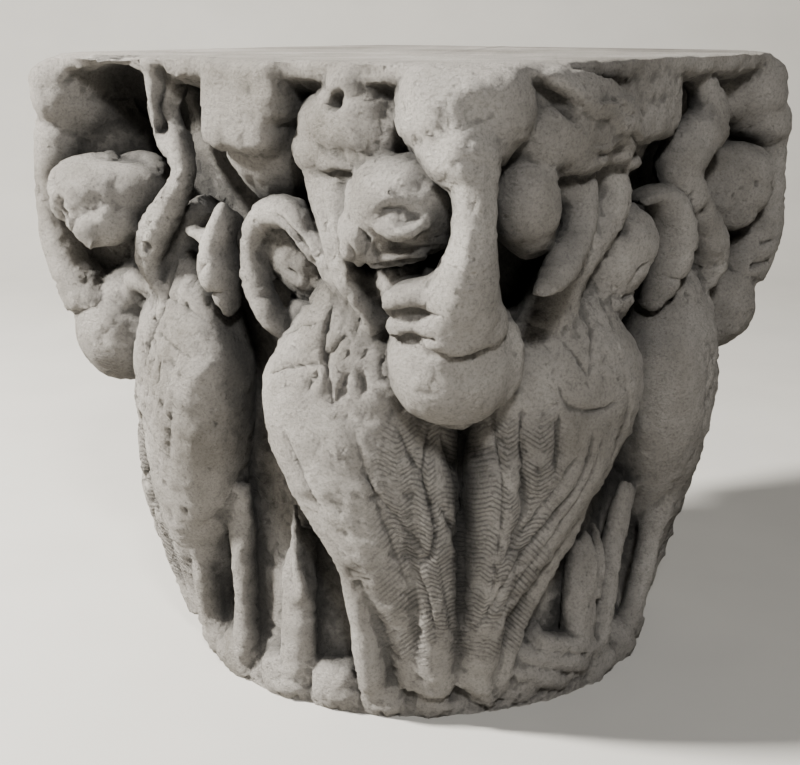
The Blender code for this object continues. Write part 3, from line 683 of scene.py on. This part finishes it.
def feathers(skin, face, side, plain):
    """The lines cut into a bird's back: spine, veins, quills, wing edge and tail."""
    def line(row, width, depth):
        skin.stroke("round", face, side, row, width, 1.5 * depth, least=0.36, sharp=1.3)

    if face % 2 == 0:
        line(((20.7, 0.672), (20.5, 0.638), (20.5, 0.606), (21.7, 0.573), (22.5, 0.528)), 0.0045, 0.008)
        line(((20.5, 0.640), (14.8, 0.630), (10.9, 0.610)), 0.0035, 0.006)
        line(((20.3, 0.588), (15.6, 0.579), (9.7, 0.559)), 0.0035, 0.006)
        line(((20.4, 0.576), (17.8, 0.551)), 0.0035, 0.006)
        line(((14.1, 0.557), (13.1, 0.541)), 0.004, 0.006)
        line(((21.2, 0.592), (24.2, 0.628)), 0.0035, 0.006)
        line(((23.1, 0.536), (25.2, 0.579)), 0.0035, 0.006)
        line(((26.8, 0.579), (28.2, 0.553)), 0.0035, 0.006)
        line(((38.4, 0.495), (37.6, 0.458), (37.1, 0.420), (39.0, 0.374), (39.9, 0.336), (38.5, 0.305),
              (36.4, 0.289)), 0.005, 0.010)
        line(((40.3, 0.486), (41.5, 0.457), (44.0, 0.404), (44.6, 0.357), (44.2, 0.296)), 0.0045, 0.008)
        line(((33.3, 0.495), (35.4, 0.450), (37.6, 0.412)), 0.004, 0.007)
        line(((38.5, 0.412), (42.8, 0.343), (44.2, 0.296)), 0.004, 0.006)
        line(((36.0, 0.280), (38.5, 0.215), (40.5, 0.150)), 0.004, 0.006)
        line(((40.5, 0.300), (42.0, 0.230), (43.0, 0.160)), 0.004, 0.006)
        line(((26.0, 0.500), (27.5, 0.440), (30.0, 0.370), (32.5, 0.300), (35.0, 0.240)), 0.004, 0.005)
        line(((13.0, 0.500), (16.0, 0.430), (20.0, 0.360)), 0.004, 0.004)
    else:
        line(((23.7, 0.689), (22.5, 0.629), (23.2, 0.599), (24.3, 0.558)), 0.0045, 0.007)
        line(((27.3, 0.603), (24.7, 0.563)), 0.0035, 0.006)
        line(((35.9, 0.523), (36.3, 0.475), (35.6, 0.413), (35.2, 0.367), (38.2, 0.292)), 0.0045, 0.008)
        line(((29.8, 0.515), (30.1, 0.470), (30.2, 0.424)), 0.004, 0.007)
        line(((40.5, 0.522), (40.1, 0.477), (39.3, 0.400), (40.0, 0.300), (41.0, 0.200)), 0.0045, 0.007)
        line(((23.4, 0.478), (23.3, 0.447), (24.8, 0.403), (27.8, 0.367), (35.4, 0.289), (42.5, 0.176)),
             0.0045, 0.009)
        line(((21.0, 0.470), (21.4, 0.436), (23.2, 0.392), (26.8, 0.346), (33.0, 0.272), (41.0, 0.140)),
             0.004, 0.006)
        line(((29.9, 0.553), (28.3, 0.521), (23.1, 0.509), (17.5, 0.517)), 0.004, 0.006)
        line(((17.0, 0.560), (15.0, 0.500), (16.0, 0.440), (19.0, 0.380)), 0.004, 0.005)
    for k in range(0 if plain else 5):
        start = 26.0 + 2.4 * k
        line(((start, 0.445 - 0.030 * k), (start + 3.2, 0.408 - 0.030 * k)), 0.003, 0.004)


def collar(skin, face, side):
    """The ribbed collar where neck meets body, and rows of short slanting cuts over the breast."""
    for row in range(4):
        for k in range(6):
            z = 0.640 - 0.026 * row - 0.006 * (k % 2)
            degrees = 14.0 + 3.2 * k + 1.6 * (row % 2)
            skin.stroke("round", face, side, ((degrees, z), (degrees + 1.4 - 2.8 * (row % 2), z - 0.019)),
                        0.0022, 0.0030, least=0.38)
    for k in range(5):
        degrees = 15.0 + 2.8 * k
        skin.stroke("round", face, side, ((degrees + 1.2, 0.690), (degrees, 0.640), (degrees - 1.5, 0.610)),
                    0.003, 0.0035, least=0.38)


def crossed_lines(skin, face, side):
    """Long slanting lines that cross one another over a far bird's breast."""
    for k in range(6):
        degrees = 11.0 + 3.6 * k
        fall, rise = 0.012 * k, 0.018 * k
        skin.stroke("round", face, side, ((degrees, 0.590 - fall), (degrees + 3.5, 0.510 - fall),
                                          (degrees + 8.0, 0.440 - fall)), 0.0026, 0.0042, least=0.38)
        skin.stroke("round", face, side, ((degrees + 9.0, 0.560 - rise), (degrees + 4.0, 0.500 - rise),
                                          (degrees - 1.0, 0.455 - rise)), 0.0024, 0.0034, least=0.38)


def deepen(skin):
    """The deep recess between the left corner's root and its face, and the narrow one beside it."""
    skin.dent("face", 0, 1, (-0.268, 0.918), (0.080, 0.064), 0.050, least=0.28, facing=-0.3)
    skin.dent("face", 0, 1, (-0.148, 0.930), (0.016, 0.050), 0.030, least=0.28, facing=-0.3)


def beast_face(skin, face, side, half):
    """The upper head's cut lines: eye, mouth notch, chin and crest."""
    u = half["head"][0]

    def line(row, width, depth):
        skin.stroke("face", face, side, row, width, depth, least=0.40)

    if half["kind"] == "eared":
        line(((0.226, 0.952), (0.214, 0.938), (0.196, 0.926), (0.176, 0.928)), 0.004, 0.006)
        line(((0.180, 0.902), (0.158, 0.892), (0.132, 0.884), (0.100, 0.880)), 0.0045, 0.011)
        line(((0.200, 0.976), (0.150, 0.954), (0.108, 0.918), (0.084, 0.884), (0.076, 0.856)), 0.006, 0.016)
        line(((0.352, 0.972), (0.318, 0.950), (0.296, 0.922)), 0.006, 0.010)
        line(((0.270, 0.894), (0.235, 0.890), (0.200, 0.896)), 0.0035, 0.004)
        line(((0.262, 0.880), (0.225, 0.874), (0.190, 0.878)), 0.0035, 0.004)
        line(((0.314, 0.846), (0.278, 0.842), (0.222, 0.842), (0.176, 0.850), (0.138, 0.854)), 0.005, 0.009)
        line(((0.172, 0.845), (0.170, 0.815), (0.192, 0.775)), 0.006, 0.012)
    elif half["kind"] == "egg":
        skin.dent("face", face, side, (u + 0.006, 0.946), (0.013, 0.011), 0.022, least=0.40)
        skin.dent("face", face, side, (u + 0.020, 0.959), (0.006, 0.006), 0.009, least=0.40)
        line(((u - 0.045, 0.846), (u + 0.004, 0.850), (u + 0.036, 0.852)), 0.005, 0.010)
        line(((u - 0.055, 0.905), (u - 0.005, 0.880), (u + 0.045, 0.885)), 0.009, 0.006)
    else:
        skin.dent("face", face, side, (u - 0.012, 0.896), (0.005, 0.008), 0.010, least=0.40)
        line(((u - 0.045, 0.860), (u - 0.020, 0.850), (u + 0.010, 0.852)), 0.004, 0.005)


def bowed_face(skin, face, side, half):
    """The bowed head's cut lines: eye, mouth slit and the seam above its beak."""
    u = half["bowed"][0]

    def line(row, width, depth):
        skin.stroke("face", face, side, row, width, depth, least=0.38)

    if half["hood"]:
        skin.dent("face", face, side, (u + 0.034, 0.752), (0.010, 0.012), 0.018, least=0.40, turn=30.0)
        line(((u + 0.030, 0.790), (u + 0.058, 0.765), (u + 0.078, 0.735), (u + 0.090, 0.700)), 0.007, 0.012)
    else:
        skin.dent("face", face, side, (u + 0.046, 0.762), (0.011, 0.009), 0.014, least=0.40, turn=-40.0)
    line(((u + 0.006, 0.704), (u + 0.020, 0.696), (u + 0.030, 0.684)), 0.005, 0.010)
    line(((u + 0.062, 0.661), (u + 0.020, 0.656), (u - 0.030, 0.662)), 0.0045, 0.009)


def long_beak_lines(skin, face, side, half):
    """A crease down the middle of the long beak, where the stone has one."""
    if half["lined"]:
        row = [(u, z) for u, _, z in half["beak"][:-1]]
        skin.stroke("face", face, side, row, 0.004, 0.004, least=0.41, facing=0.35)


def corner_lines(skin, corner, head_side):
    """The cut lines of a corner: beast's eye, mouth, nose; bulb's seam; folds of the trunk."""
    lean = CORNERS[corner][0]

    def line(side, row, width, depth, least=0.44):
        skin.stroke("corner", corner, side, row, width, depth, least=least, facing=0.0)

    line(head_side, ((0.143, 0.802), (0.128, 0.816), (0.106, 0.818), (0.086, 0.806)), 0.006, 0.012)
    line(head_side, ((0.136, 0.790), (0.116, 0.782), (0.094, 0.780), (0.074, 0.794)), 0.005, 0.006)
    line(head_side, ((0.156, 0.728), (0.114, 0.738), (0.066, 0.748)), 0.006, 0.016)
    line(head_side, ((0.160, 0.790), (0.150, 0.770), (0.152, 0.745)), 0.006, 0.012)
    line(head_side, ((0.172, 0.770), (0.166, 0.752), (0.163, 0.735)), 0.004, 0.008)
    line(head_side, ((0.142, 0.772), (0.138, 0.752), (0.140, 0.735)), 0.004, 0.008)
    line(head_side, ((0.118, 0.770), (0.085, 0.764), (0.055, 0.768)), 0.005, 0.006)
    if corner:
        line(-head_side, ((0.080, 0.850), (0.088, 0.812), (0.078, 0.772), (0.052, 0.756)), 0.005, 0.007)
    line(1, ((lean - 0.112, 0.674), (lean - 0.080, 0.680), (lean - 0.046, 0.684)), 0.006, 0.014, least=0.48)
    line(1, ((lean - 0.110, 0.638), (lean - 0.080, 0.644), (lean - 0.046, 0.650)), 0.006, 0.012, least=0.48)
    line(1, ((lean - 0.020, 0.622), (lean + 0.005, 0.628), (lean + 0.034, 0.636)), 0.0035, 0.005, least=0.50)
    line(1, ((lean + 0.004, 0.900), (lean - 0.006, 0.850), (lean - 0.004, 0.790), (lean - 0.012, 0.730)),
         0.006, 0.005, least=0.52)
    line(1, ((lean + 0.016, 0.880), (lean + 0.012, 0.820), (lean + 0.014, 0.760)), 0.005, 0.004, least=0.52)


def wear_top(skin):
    """Round the top's arris over everything that reaches it, the front corner most."""
    x, y, z = skin.places.T
    power = 7.0
    q = (np.abs(x) ** power + np.abs(y) ** power) ** (1.0 / power)
    turn = np.arctan2(y, x)
    rough = 0.006 * np.sin(5.0 * turn + 1.0) + 0.004 * np.sin(11.0 * turn + 2.0)
    front = np.clip(1.0 - np.hypot(x - 0.43, y + 0.43) / 0.30, 0.0, 1.0)
    front = np.maximum(front, np.clip(1.2 - np.hypot(x + 0.46, y + 0.46) / 0.22, 0.0, 1.6))
    band = 0.045 + 0.020 * front
    t = np.clip((z - (1.0 - band)) / band, 0.0, 1.0)
    limit = 0.442 + rough - 0.012 * front + (0.052 + 0.012 * front) * np.sqrt(1.0 - t * t)
    over = np.where(t > 0.0, np.maximum(q - limit, 0.0), 0.0)
    pull = (q - over * 0.94) / np.maximum(q, 1e-6)
    skin.places[:, 0] = x * pull
    skin.places[:, 1] = y * pull


def roughness_of(places, size, seed):
    """Solid noise at each place, with lumps of the given size in shares."""
    offset = Vector((seed * 7.1, seed * 3.7, seed * 1.9))
    return np.array([noise.noise(Vector(p) / size + offset) for p in places.tolist()])


def weather(skin):
    """Worn stone: slow unevenness, pecked grain, gritty loss on the weather side, and scattered pits."""
    where = skin.places
    slow = roughness_of(where, 0.16, 1)
    mid = roughness_of(where, 0.050, 2)
    small = roughness_of(where, 0.020, 3)
    grit = roughness_of(where, 0.0095, 4)
    ragged = roughness_of(where, 0.0065, 6)
    west = np.clip(0.5 - 0.9 * (skin.normals[:, 0] * 0.8 + skin.normals[:, 1] * 0.2), 0.0, 1.0)
    loss = np.clip(roughness_of(where, 0.10, 5) + 0.35 * west - 0.05, 0.0, 0.6)
    bite = np.clip(0.6 * small + 0.8 * grit + 0.4 * ragged, -0.15, 1.0)
    pecked = 0.0022 * grit + 0.0018 * ragged + 0.0012 * (1.0 - 2.0 * np.abs(roughness_of(where, 0.013, 8)))
    low = np.clip(1.0 - where[:, 2] / 0.10, 0.0, 1.0)
    skin.places += skin.normals * (0.0045 * slow + 0.0034 * mid + 0.0030 * small + pecked * (1.0 + 0.6 * low)
                                   - (0.014 + 0.012 * low) * loss * bite)[:, None]
    tree = kdtree.KDTree(len(where))
    for k, p in enumerate(skin.places.tolist()):
        tree.insert(p, k)
    tree.balance()
    rng = np.random.default_rng(SEED)
    amount = np.zeros(len(where))
    for k in rng.integers(0, len(where), PITS):
        if skin.normals[k, 2] > 0.9 or where[k, 2] < 0.02:
            continue
        radius = 0.003 + 0.009 * rng.random() ** 4
        deep = radius * (0.4 + 0.6 * rng.random())
        stretch = rng.normal(size=3)
        stretch /= np.linalg.norm(stretch)
        for _, index, far in tree.find_range(skin.places[k].tolist(), radius * 2.2):
            along = abs(float(np.dot(skin.places[index] - skin.places[k], stretch)))
            far = math.hypot(far, 0.8 * along) * (1.0 + 0.5 * grit[index])
            amount[index] = max(amount[index], deep * math.exp(-(far / radius * 1.15) ** 4))
    skin.push(-amount)


def flat_bed(bm, z, up):
    """Saw the stone flat at a height, and close the cut."""
    everything = list(bm.verts) + list(bm.edges) + list(bm.faces)
    cut = bmesh.ops.bisect_plane(bm, geom=everything, dist=1e-6, plane_co=(0.0, 0.0, z),
                                 plane_no=(0.0, 0.0, up), clear_outer=True)["geom_cut"]
    rim = [e for e in cut if isinstance(e, bmesh.types.BMEdge)]
    for vert in {v for e in rim for v in e.verts}:
        vert.co.z = z
    bmesh.ops.edgeloop_fill(bm, edges=rim)


def saw_beds(thing):
    """Give the stone its two flat beds, at the foot and the top."""
    bm = bmesh.new()
    bm.from_mesh(thing.data)
    flat_bed(bm, HEIGHT, 1.0)
    flat_bed(bm, 0.0, -1.0)
    bmesh.ops.recalc_face_normals(bm, faces=bm.faces)
    bm.to_mesh(thing.data)
    bm.free()


def store(mesh, name, values):
    layer = mesh.attributes.new(name, "FLOAT", "POINT")
    layer.data.foreach_set("value", values.astype(np.float32))


def inner(skin):
    """One for every place off the two flat beds, and none on them."""
    return ((skin.places[:, 2] > 0.0005) & (skin.places[:, 2] < 0.9995)).astype(float)


def hollows(skin):
    """How far each place lies inside its surroundings, for the dust that stays in cut lines and pits and the
    painted shade that darkens the same creases.
    """
    smooth = skin.places.copy()
    found = np.zeros(len(smooth))
    for rounds, weight in ((2, 1.2), (6, 0.7), (16, 0.5)):
        for _ in range(rounds):
            smooth = 0.4 * smooth + 0.6 * skin.mean(smooth)
        found += weight * np.einsum("ij,ij->i", smooth - skin.places, skin.normals)
    store(skin.mesh, "hollow", found * 100.0 * inner(skin))


def recess_shade(skin):
    """How much of the open air each place is cut off from, for the painted shade that darkens the deep
    recesses.
    """
    polygons = [tuple(p.vertices) for p in skin.mesh.polygons]
    tree = bvhtree.BVHTree.FromPolygons([tuple(p) for p in skin.places.tolist()], polygons)
    rng = np.random.default_rng(SEED)
    ways = rng.normal(size=(SKY_RAYS, 3))
    ways /= np.linalg.norm(ways, axis=1)[:, None]
    starts = (skin.places + 0.004 * skin.normals).tolist()
    shut = np.zeros(len(starts))
    for way in ways:
        rays = (skin.normals * 1.05 + way).tolist()
        for k, (start, ray) in enumerate(zip(starts, rays)):
            if tree.ray_cast(start, ray, SKY_REACH)[0] is not None:
                shut[k] += 1.0
    shut /= len(ways)
    for _ in range(3):
        shut = 0.5 * shut + 0.5 * skin.mean(shut)
    store(skin.mesh, "recess_shade", shut * inner(skin))


# The quills that the barbs spring from, in degrees round from a face's middle, by height
QUILLS = (((30.0, 0.560), (29.8, 0.460), (31.0, 0.380), (34.5, 0.300), (39.0, 0.200), (41.0, 0.100)),
          ((36.0, 0.560), (36.2, 0.475), (35.6, 0.400), (37.6, 0.300), (40.5, 0.200), (42.5, 0.100)),
          ((40.4, 0.560), (40.2, 0.475), (40.8, 0.390), (41.8, 0.300), (43.0, 0.200), (43.8, 0.100)))


def barbs(skin):
    """Where the fine strokes of the feathers lie, counted along each feather, and how strong they are."""
    count = np.zeros(len(skin.places))
    strong = np.zeros(len(skin.places))
    for face in range(FACES):
        for side in SIDES:
            turn, up, outward, facing = skin.view("round", face, side)
            inside = (turn > 0.0) & (turn < 45.0) & (outward > 0.37) & (facing > 0.0)
            nearest = np.full(len(turn), 9.0)
            for quill in QUILLS:
                rise = [z for d, z in reversed(quill)]
                middle = np.interp(up, rise, [d for d, z in reversed(quill)])
                nearest = np.minimum(nearest, np.abs(turn - middle) * math.radians(ROUND_RADIUS))
            here = np.clip((turn - 26.0) / 6.0, 0.0, 1.0) * np.clip((0.545 - up) / 0.07, 0.0, 1.0) \
                * np.clip((up - 0.09) / 0.05, 0.0, 1.0) * np.clip(facing / 0.4, 0.0, 1.0)
            count = np.where(inside, (up + 0.8 * nearest) * HEIGHT / BARB_PITCH, count)
            strong = np.where(inside, here, strong)
    store(skin.mesh, "barb_count", count)
    store(skin.mesh, "barb_strength", strong)


def build_stone():
    """The carved capital: one skin over all its forms, cut lines, wear, flat beds and what the finish needs."""
    thing = bpy.data.objects.new("carved_capital", carved_mesh())
    bpy.context.scene.collection.objects.link(thing)
    remesh = thing.modifiers.new("one skin", "REMESH")
    remesh.mode = "VOXEL"
    remesh.voxel_size = FINE_STEP
    ease_joints = thing.modifiers.new("worn joints", "SMOOTH")
    ease_joints.factor = 0.5
    ease_joints.iterations = 2
    settle(thing)
    skin = Skin(thing.data)
    wear_top(skin)
    skin.read_normals()
    deepen(skin)
    skin.read_normals()
    for face in range(FACES):
        for side in SIDES:
            half = HALVES[(face, side)]
            feathers(skin, face, side, face > 1)
            collar(skin, face, side)
            if half["kind"] == "slender":
                crossed_lines(skin, face, side)
            beast_face(skin, face, side, half)
            bowed_face(skin, face, side, half)
            long_beak_lines(skin, face, side, half)
        corner_lines(skin, face, -1 if face % 2 == 0 else 1)
    skin.read_normals()
    weather(skin)
    skin.write()
    fewer = thing.modifiers.new("facets", "DECIMATE")
    fewer.use_collapse_triangulate = True
    fewer.ratio = FINE_FACETS / sum(len(p.vertices) - 2 for p in thing.data.polygons)
    settle(thing)
    saw_beds(thing)
    skin = Skin(thing.data)
    hollows(skin)
    recess_shade(skin)
    barbs(skin)
    thing.data.shade_smooth()
    thing.data.set_sharp_from_angle(angle=math.radians(60.0))
    return thing


def linear(code):
    """A colour given as sRGB hex, in the light values that a shader takes."""
    parts = [int(code[k:k + 2], 16) / 255.0 for k in (1, 3, 5)]
    return tuple(p / 12.92 if p <= 0.04045 else ((p + 0.055) / 1.055) ** 2.4 for p in parts) + (1.0,)


def add_node(tree, kind, values=(), links=(), stops=(), **settings):
    """Add a shader node with its settings, its sockets' values, its links, and a ramp's stops."""
    made = tree.nodes.new(kind)
    for name, value in settings.items():
        setattr(made, name, value)
    for socket, value in values:
        made.inputs[socket].default_value = value
    for socket, source in links:
        tree.links.new(source, made.inputs[socket])
    for k, (place, colour) in enumerate(stops):
        bar = made.color_ramp.elements
        stop = bar[k] if k < len(bar) else bar.new(place)
        stop.position = place
        stop.color = colour if isinstance(colour, tuple) else (colour, colour, colour, 1.0)
    return made


def plain_material(name, roughness, specular):
    """A material with its shader's constants set, its tree, its shader and the place on the object."""
    material = bpy.data.materials.new(name)
    material.use_nodes = True
    tree = material.node_tree
    shader = tree.nodes["Principled BSDF"]
    shader.inputs["Roughness"].default_value = roughness
    shader.inputs["Specular IOR Level"].default_value = specular
    return material, tree, shader, add_node(tree, "ShaderNodeTexCoord").outputs["Object"]


# The stone's mottles: grain width in millimetres, how many finer octaves, and their strength. The real grains
# are under half a millimetre, which the render can't show, so grain and speckle are drawn coarser.
MOTTLES = {"bed colour": (71.4, 6.0, 0.60), "speckle": (1.786, 4.0, 0.75), "pitted places": (33.3, 4.0, 0.60),
           "worn feathers": (16.67, 3.0, 0.60), "grain": (2.381, 6.0, 0.80)}
PIT_SPACING = 5.263


def limestone():
    """Fine limestone cut with a point and long out of doors: matt gritty grain, open pits, dust in its cuts,
    and painted shade in its cuts, feather grooves and deep recesses."""
    material, tree, shader, at = plain_material("weathered carved limestone", 0.92, 0.28)
    mottle = {}
    for name, (millimetres, octaves, strength) in MOTTLES.items():
        values = (("Scale", 1000.0 / millimetres), ("Detail", octaves), ("Roughness", strength))
        made = add_node(tree, "ShaderNodeTexNoise", values=values, links=(("Vector", at),))
        mottle[name] = made.outputs["Fac"]
    kept = {}
    for name in ("hollow", "recess_shade", "barb_count", "barb_strength"):
        kept[name] = add_node(tree, "ShaderNodeAttribute", attribute_name=name).outputs["Fac"]

    # The feathers' strokes: a wave along each feather, faint where the stone is most worn
    turned = add_node(tree, "ShaderNodeMath", values=((1, 2.0 * math.pi),), links=((0, kept["barb_count"]),),
                      operation="MULTIPLY")
    wave = add_node(tree, "ShaderNodeMath", links=((0, turned.outputs[0]),), operation="SINE")
    left = add_node(tree, "ShaderNodeValToRGB", links=(("Fac", mottle["worn feathers"]),),
                    stops=((0.34, 0.0), (0.50, 1.0)))
    strength = add_node(tree, "ShaderNodeMath", links=((0, kept["barb_strength"]), (1, left.outputs["Color"])),
                        operation="MULTIPLY")
    cut = add_node(tree, "ShaderNodeMath", values=((1, -0.5), (2, 0.5)), links=((0, wave.outputs[0]),),
                   operation="MULTIPLY_ADD")
    # Painted shade in the strokes' grooves, strong where the wave dips
    groove_shade = add_node(tree, "ShaderNodeMath", links=((0, cut.outputs[0]), (1, strength.outputs[0])),
                     operation="MULTIPLY")

    # The colour: pale and grey beds, then what darkens them, each layer with its own share: speckle, dust with
    # painted shade in the hollows, painted shade in the deep recesses, and painted shade in the feathers'
    # grooves
    beds = add_node(tree, "ShaderNodeValToRGB", links=(("Fac", mottle["bed colour"]),),
                    stops=((0.30, linear("#77726A")), (0.52, linear("#96918A")), (0.74, linear("#ADA8A0"))))
    colour = beds.outputs["Color"]
    for share, source, stops in (
            (0.85, mottle["speckle"], ((0.30, 0.48), (0.50, 0.90), (0.64, 1.0))),
            # Dust in the cut lines and pits, with painted shade darkening the same creases
            (0.80, kept["hollow"], ((0.0, 1.0), (0.30, 0.62), (0.90, 0.40))),
            # Painted shade, darkest in the recesses that the least open air reaches
            (0.92, kept["recess_shade"], ((0.15, 1.0), (0.42, 0.74), (0.62, 0.36), (0.82, 0.12))),
            # Painted shade in the grooves of the feathers' strokes
            (0.90, groove_shade.outputs[0], ((0.25, 1.0), (0.95, 0.50)))):
        layer = add_node(tree, "ShaderNodeValToRGB", links=(("Fac", source),), stops=stops)
        darkened = add_node(tree, "ShaderNodeMix", values=((0, share),),
                            links=((6, colour), (7, layer.outputs["Color"])),
                            data_type="RGBA", blend_type="MULTIPLY")
        colour = darkened.outputs[2]
    tree.links.new(colour, shader.inputs["Base Color"])

    # The relief that is finer than the mesh: strokes, then grain, then pits in the places that have them
    pits = add_node(tree, "ShaderNodeTexVoronoi", values=(("Scale", 1000.0 / PIT_SPACING), ("Randomness", 1.0)),
                    links=(("Vector", at),))
    pit_depth = add_node(tree, "ShaderNodeValToRGB", links=(("Fac", pits.outputs["Distance"]),),
                         stops=((0.05, 0.0), (0.32, 1.0)))
    pitted = add_node(tree, "ShaderNodeValToRGB", links=(("Fac", mottle["pitted places"]),),
                      stops=((0.45, 0.0), (0.62, 1.0)))
    strokes = add_node(tree, "ShaderNodeBump", values=(("Distance", 0.0026),),
                       links=(("Height", wave.outputs[0]), ("Strength", strength.outputs[0])))
    grain = add_node(tree, "ShaderNodeBump", values=(("Strength", 1.0), ("Distance", 0.0042)),
                     links=(("Height", mottle["grain"]), ("Normal", strokes.outputs["Normal"])))
    open_pits = add_node(tree, "ShaderNodeBump", values=(("Distance", 0.0014),),
                         links=(("Height", pit_depth.outputs["Color"]), ("Strength", pitted.outputs["Color"]),
                                ("Normal", grain.outputs["Normal"])))
    tree.links.new(open_pits.outputs["Normal"], shader.inputs["Normal"])
    return material


def floor_paint():
    """Matt pale paint rolled on a sheet: flat, with a faint mottle about a hand wide."""
    material, tree, shader, at = plain_material("rolled matt pale paint", 0.85, 0.50)
    mottle = add_node(tree, "ShaderNodeTexNoise", values=(("Scale", 1000.0 / 111.1), ("Detail", 5.0)),
                      links=(("Vector", at),))
    pale = linear("#A7A49E")
    dim = tuple(0.94 * c for c in pale[:3]) + (1.0,)
    shade = add_node(tree, "ShaderNodeValToRGB", links=(("Fac", mottle.outputs["Fac"]),),
                     stops=((0.3, dim), (0.7, pale)))
    tree.links.new(shade.outputs["Color"], shader.inputs["Base Color"])
    return material


def floor_sheet():
    """A pale floor that curves up into a backdrop, in metres, turned square to the viewer."""
    bm = bmesh.new()
    rows = []
    bend, flat = 0.9, 1.2
    profile = [(-3.0, 0.0), (flat, 0.0)]
    turns = np.linspace(0.1, math.pi / 2, 14)
    profile += [(flat + bend * math.sin(a), bend - bend * math.cos(a)) for a in turns]
    profile += [(flat + bend, 4.0)]
    for away, up in profile:
        rows.append([bm.verts.new((across, away, up)) for across in (-5.0, 5.0)])
    for lower, upper in zip(rows, rows[1:]):
        bm.faces.new((lower[0], lower[1], upper[1], upper[0]))
    mesh = bpy.data.meshes.new("floor sheet")
    bm.to_mesh(mesh)
    bm.free()
    sheet = bpy.data.objects.new("floor_sheet", mesh)
    bpy.context.scene.collection.objects.link(sheet)
    sheet.rotation_euler = (0.0, 0.0, VIEW_TURN)
    sheet.data.shade_smooth()
    sheet.data.materials.append(floor_paint())
    return sheet


# The photograph's view: the near corner turned 8 degrees to the right of the viewer's left face
VIEW_TURN = math.radians(45.0 - 8.0)
VIEW_DISTANCE = 2.395 * HEIGHT
VIEW_HEIGHT = 1.057 * HEIGHT
VIEW_DOWN = 14.49
VIEW_ASIDE = 0.895
FOCAL_PIXELS = 1418.0
PICTURE_WIDTH = 800.0
SENSOR = 36.0


def camera():
    """The photograph's eye, found by fitting the stone's outline: place, tilt, turn aside and focal length."""
    data = bpy.data.cameras.new("view")
    thing = bpy.data.objects.new("view", data)
    bpy.context.scene.collection.objects.link(thing)
    data.sensor_width = SENSOR
    data.lens = SENSOR * FOCAL_PIXELS / PICTURE_WIDTH
    data.dof.use_dof = False
    thing.location = (VIEW_DISTANCE * math.sin(VIEW_TURN), -VIEW_DISTANCE * math.cos(VIEW_TURN), VIEW_HEIGHT)
    thing.rotation_euler = (math.radians(90.0 - VIEW_DOWN), 0.0, VIEW_TURN + math.radians(VIEW_ASIDE))
    bpy.context.scene.camera = thing


def lamp(name, turn, rise, far, size, watts, code):
    """A square soft lamp aimed at the stone, its turn measured from the viewer toward the right."""
    data = bpy.data.lights.new(name, "AREA")
    data.shape = "SQUARE"
    data.size = size
    data.energy = watts
    data.color = linear(code)[:3]
    thing = bpy.data.objects.new(name, data)
    bpy.context.scene.collection.objects.link(thing)
    a = VIEW_TURN + math.radians(turn)
    b = math.radians(rise)
    toward = Vector((math.sin(a) * math.cos(b), -math.cos(a) * math.cos(b), math.sin(b)))
    thing.location = toward * far + Vector((0.0, 0.0, HEIGHT * 0.5))
    thing.rotation_euler = toward.to_track_quat("Z", "Y").to_euler()


def light():
    """A strong lamp from the left, a weaker one in front on the right, and very little light from the room."""
    lamp("key", -84.0, 36.0, 2.2, 0.26, 300.0, "#FFFDF8")
    lamp("front right", 6.0, 38.0, 2.4, 0.26, 60.0, "#FFFFFF")
    world = bpy.data.worlds.new("soft room")
    world.use_nodes = True
    back = world.node_tree.nodes["Background"]
    back.inputs["Color"].default_value = linear("#E6E8EA")
    back.inputs["Strength"].default_value = 0.008
    bpy.context.scene.world = world


capital = build_stone()
capital.data.materials.append(limestone())
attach(capital, "root")
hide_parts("capital")
floor_sheet()
camera()
light()
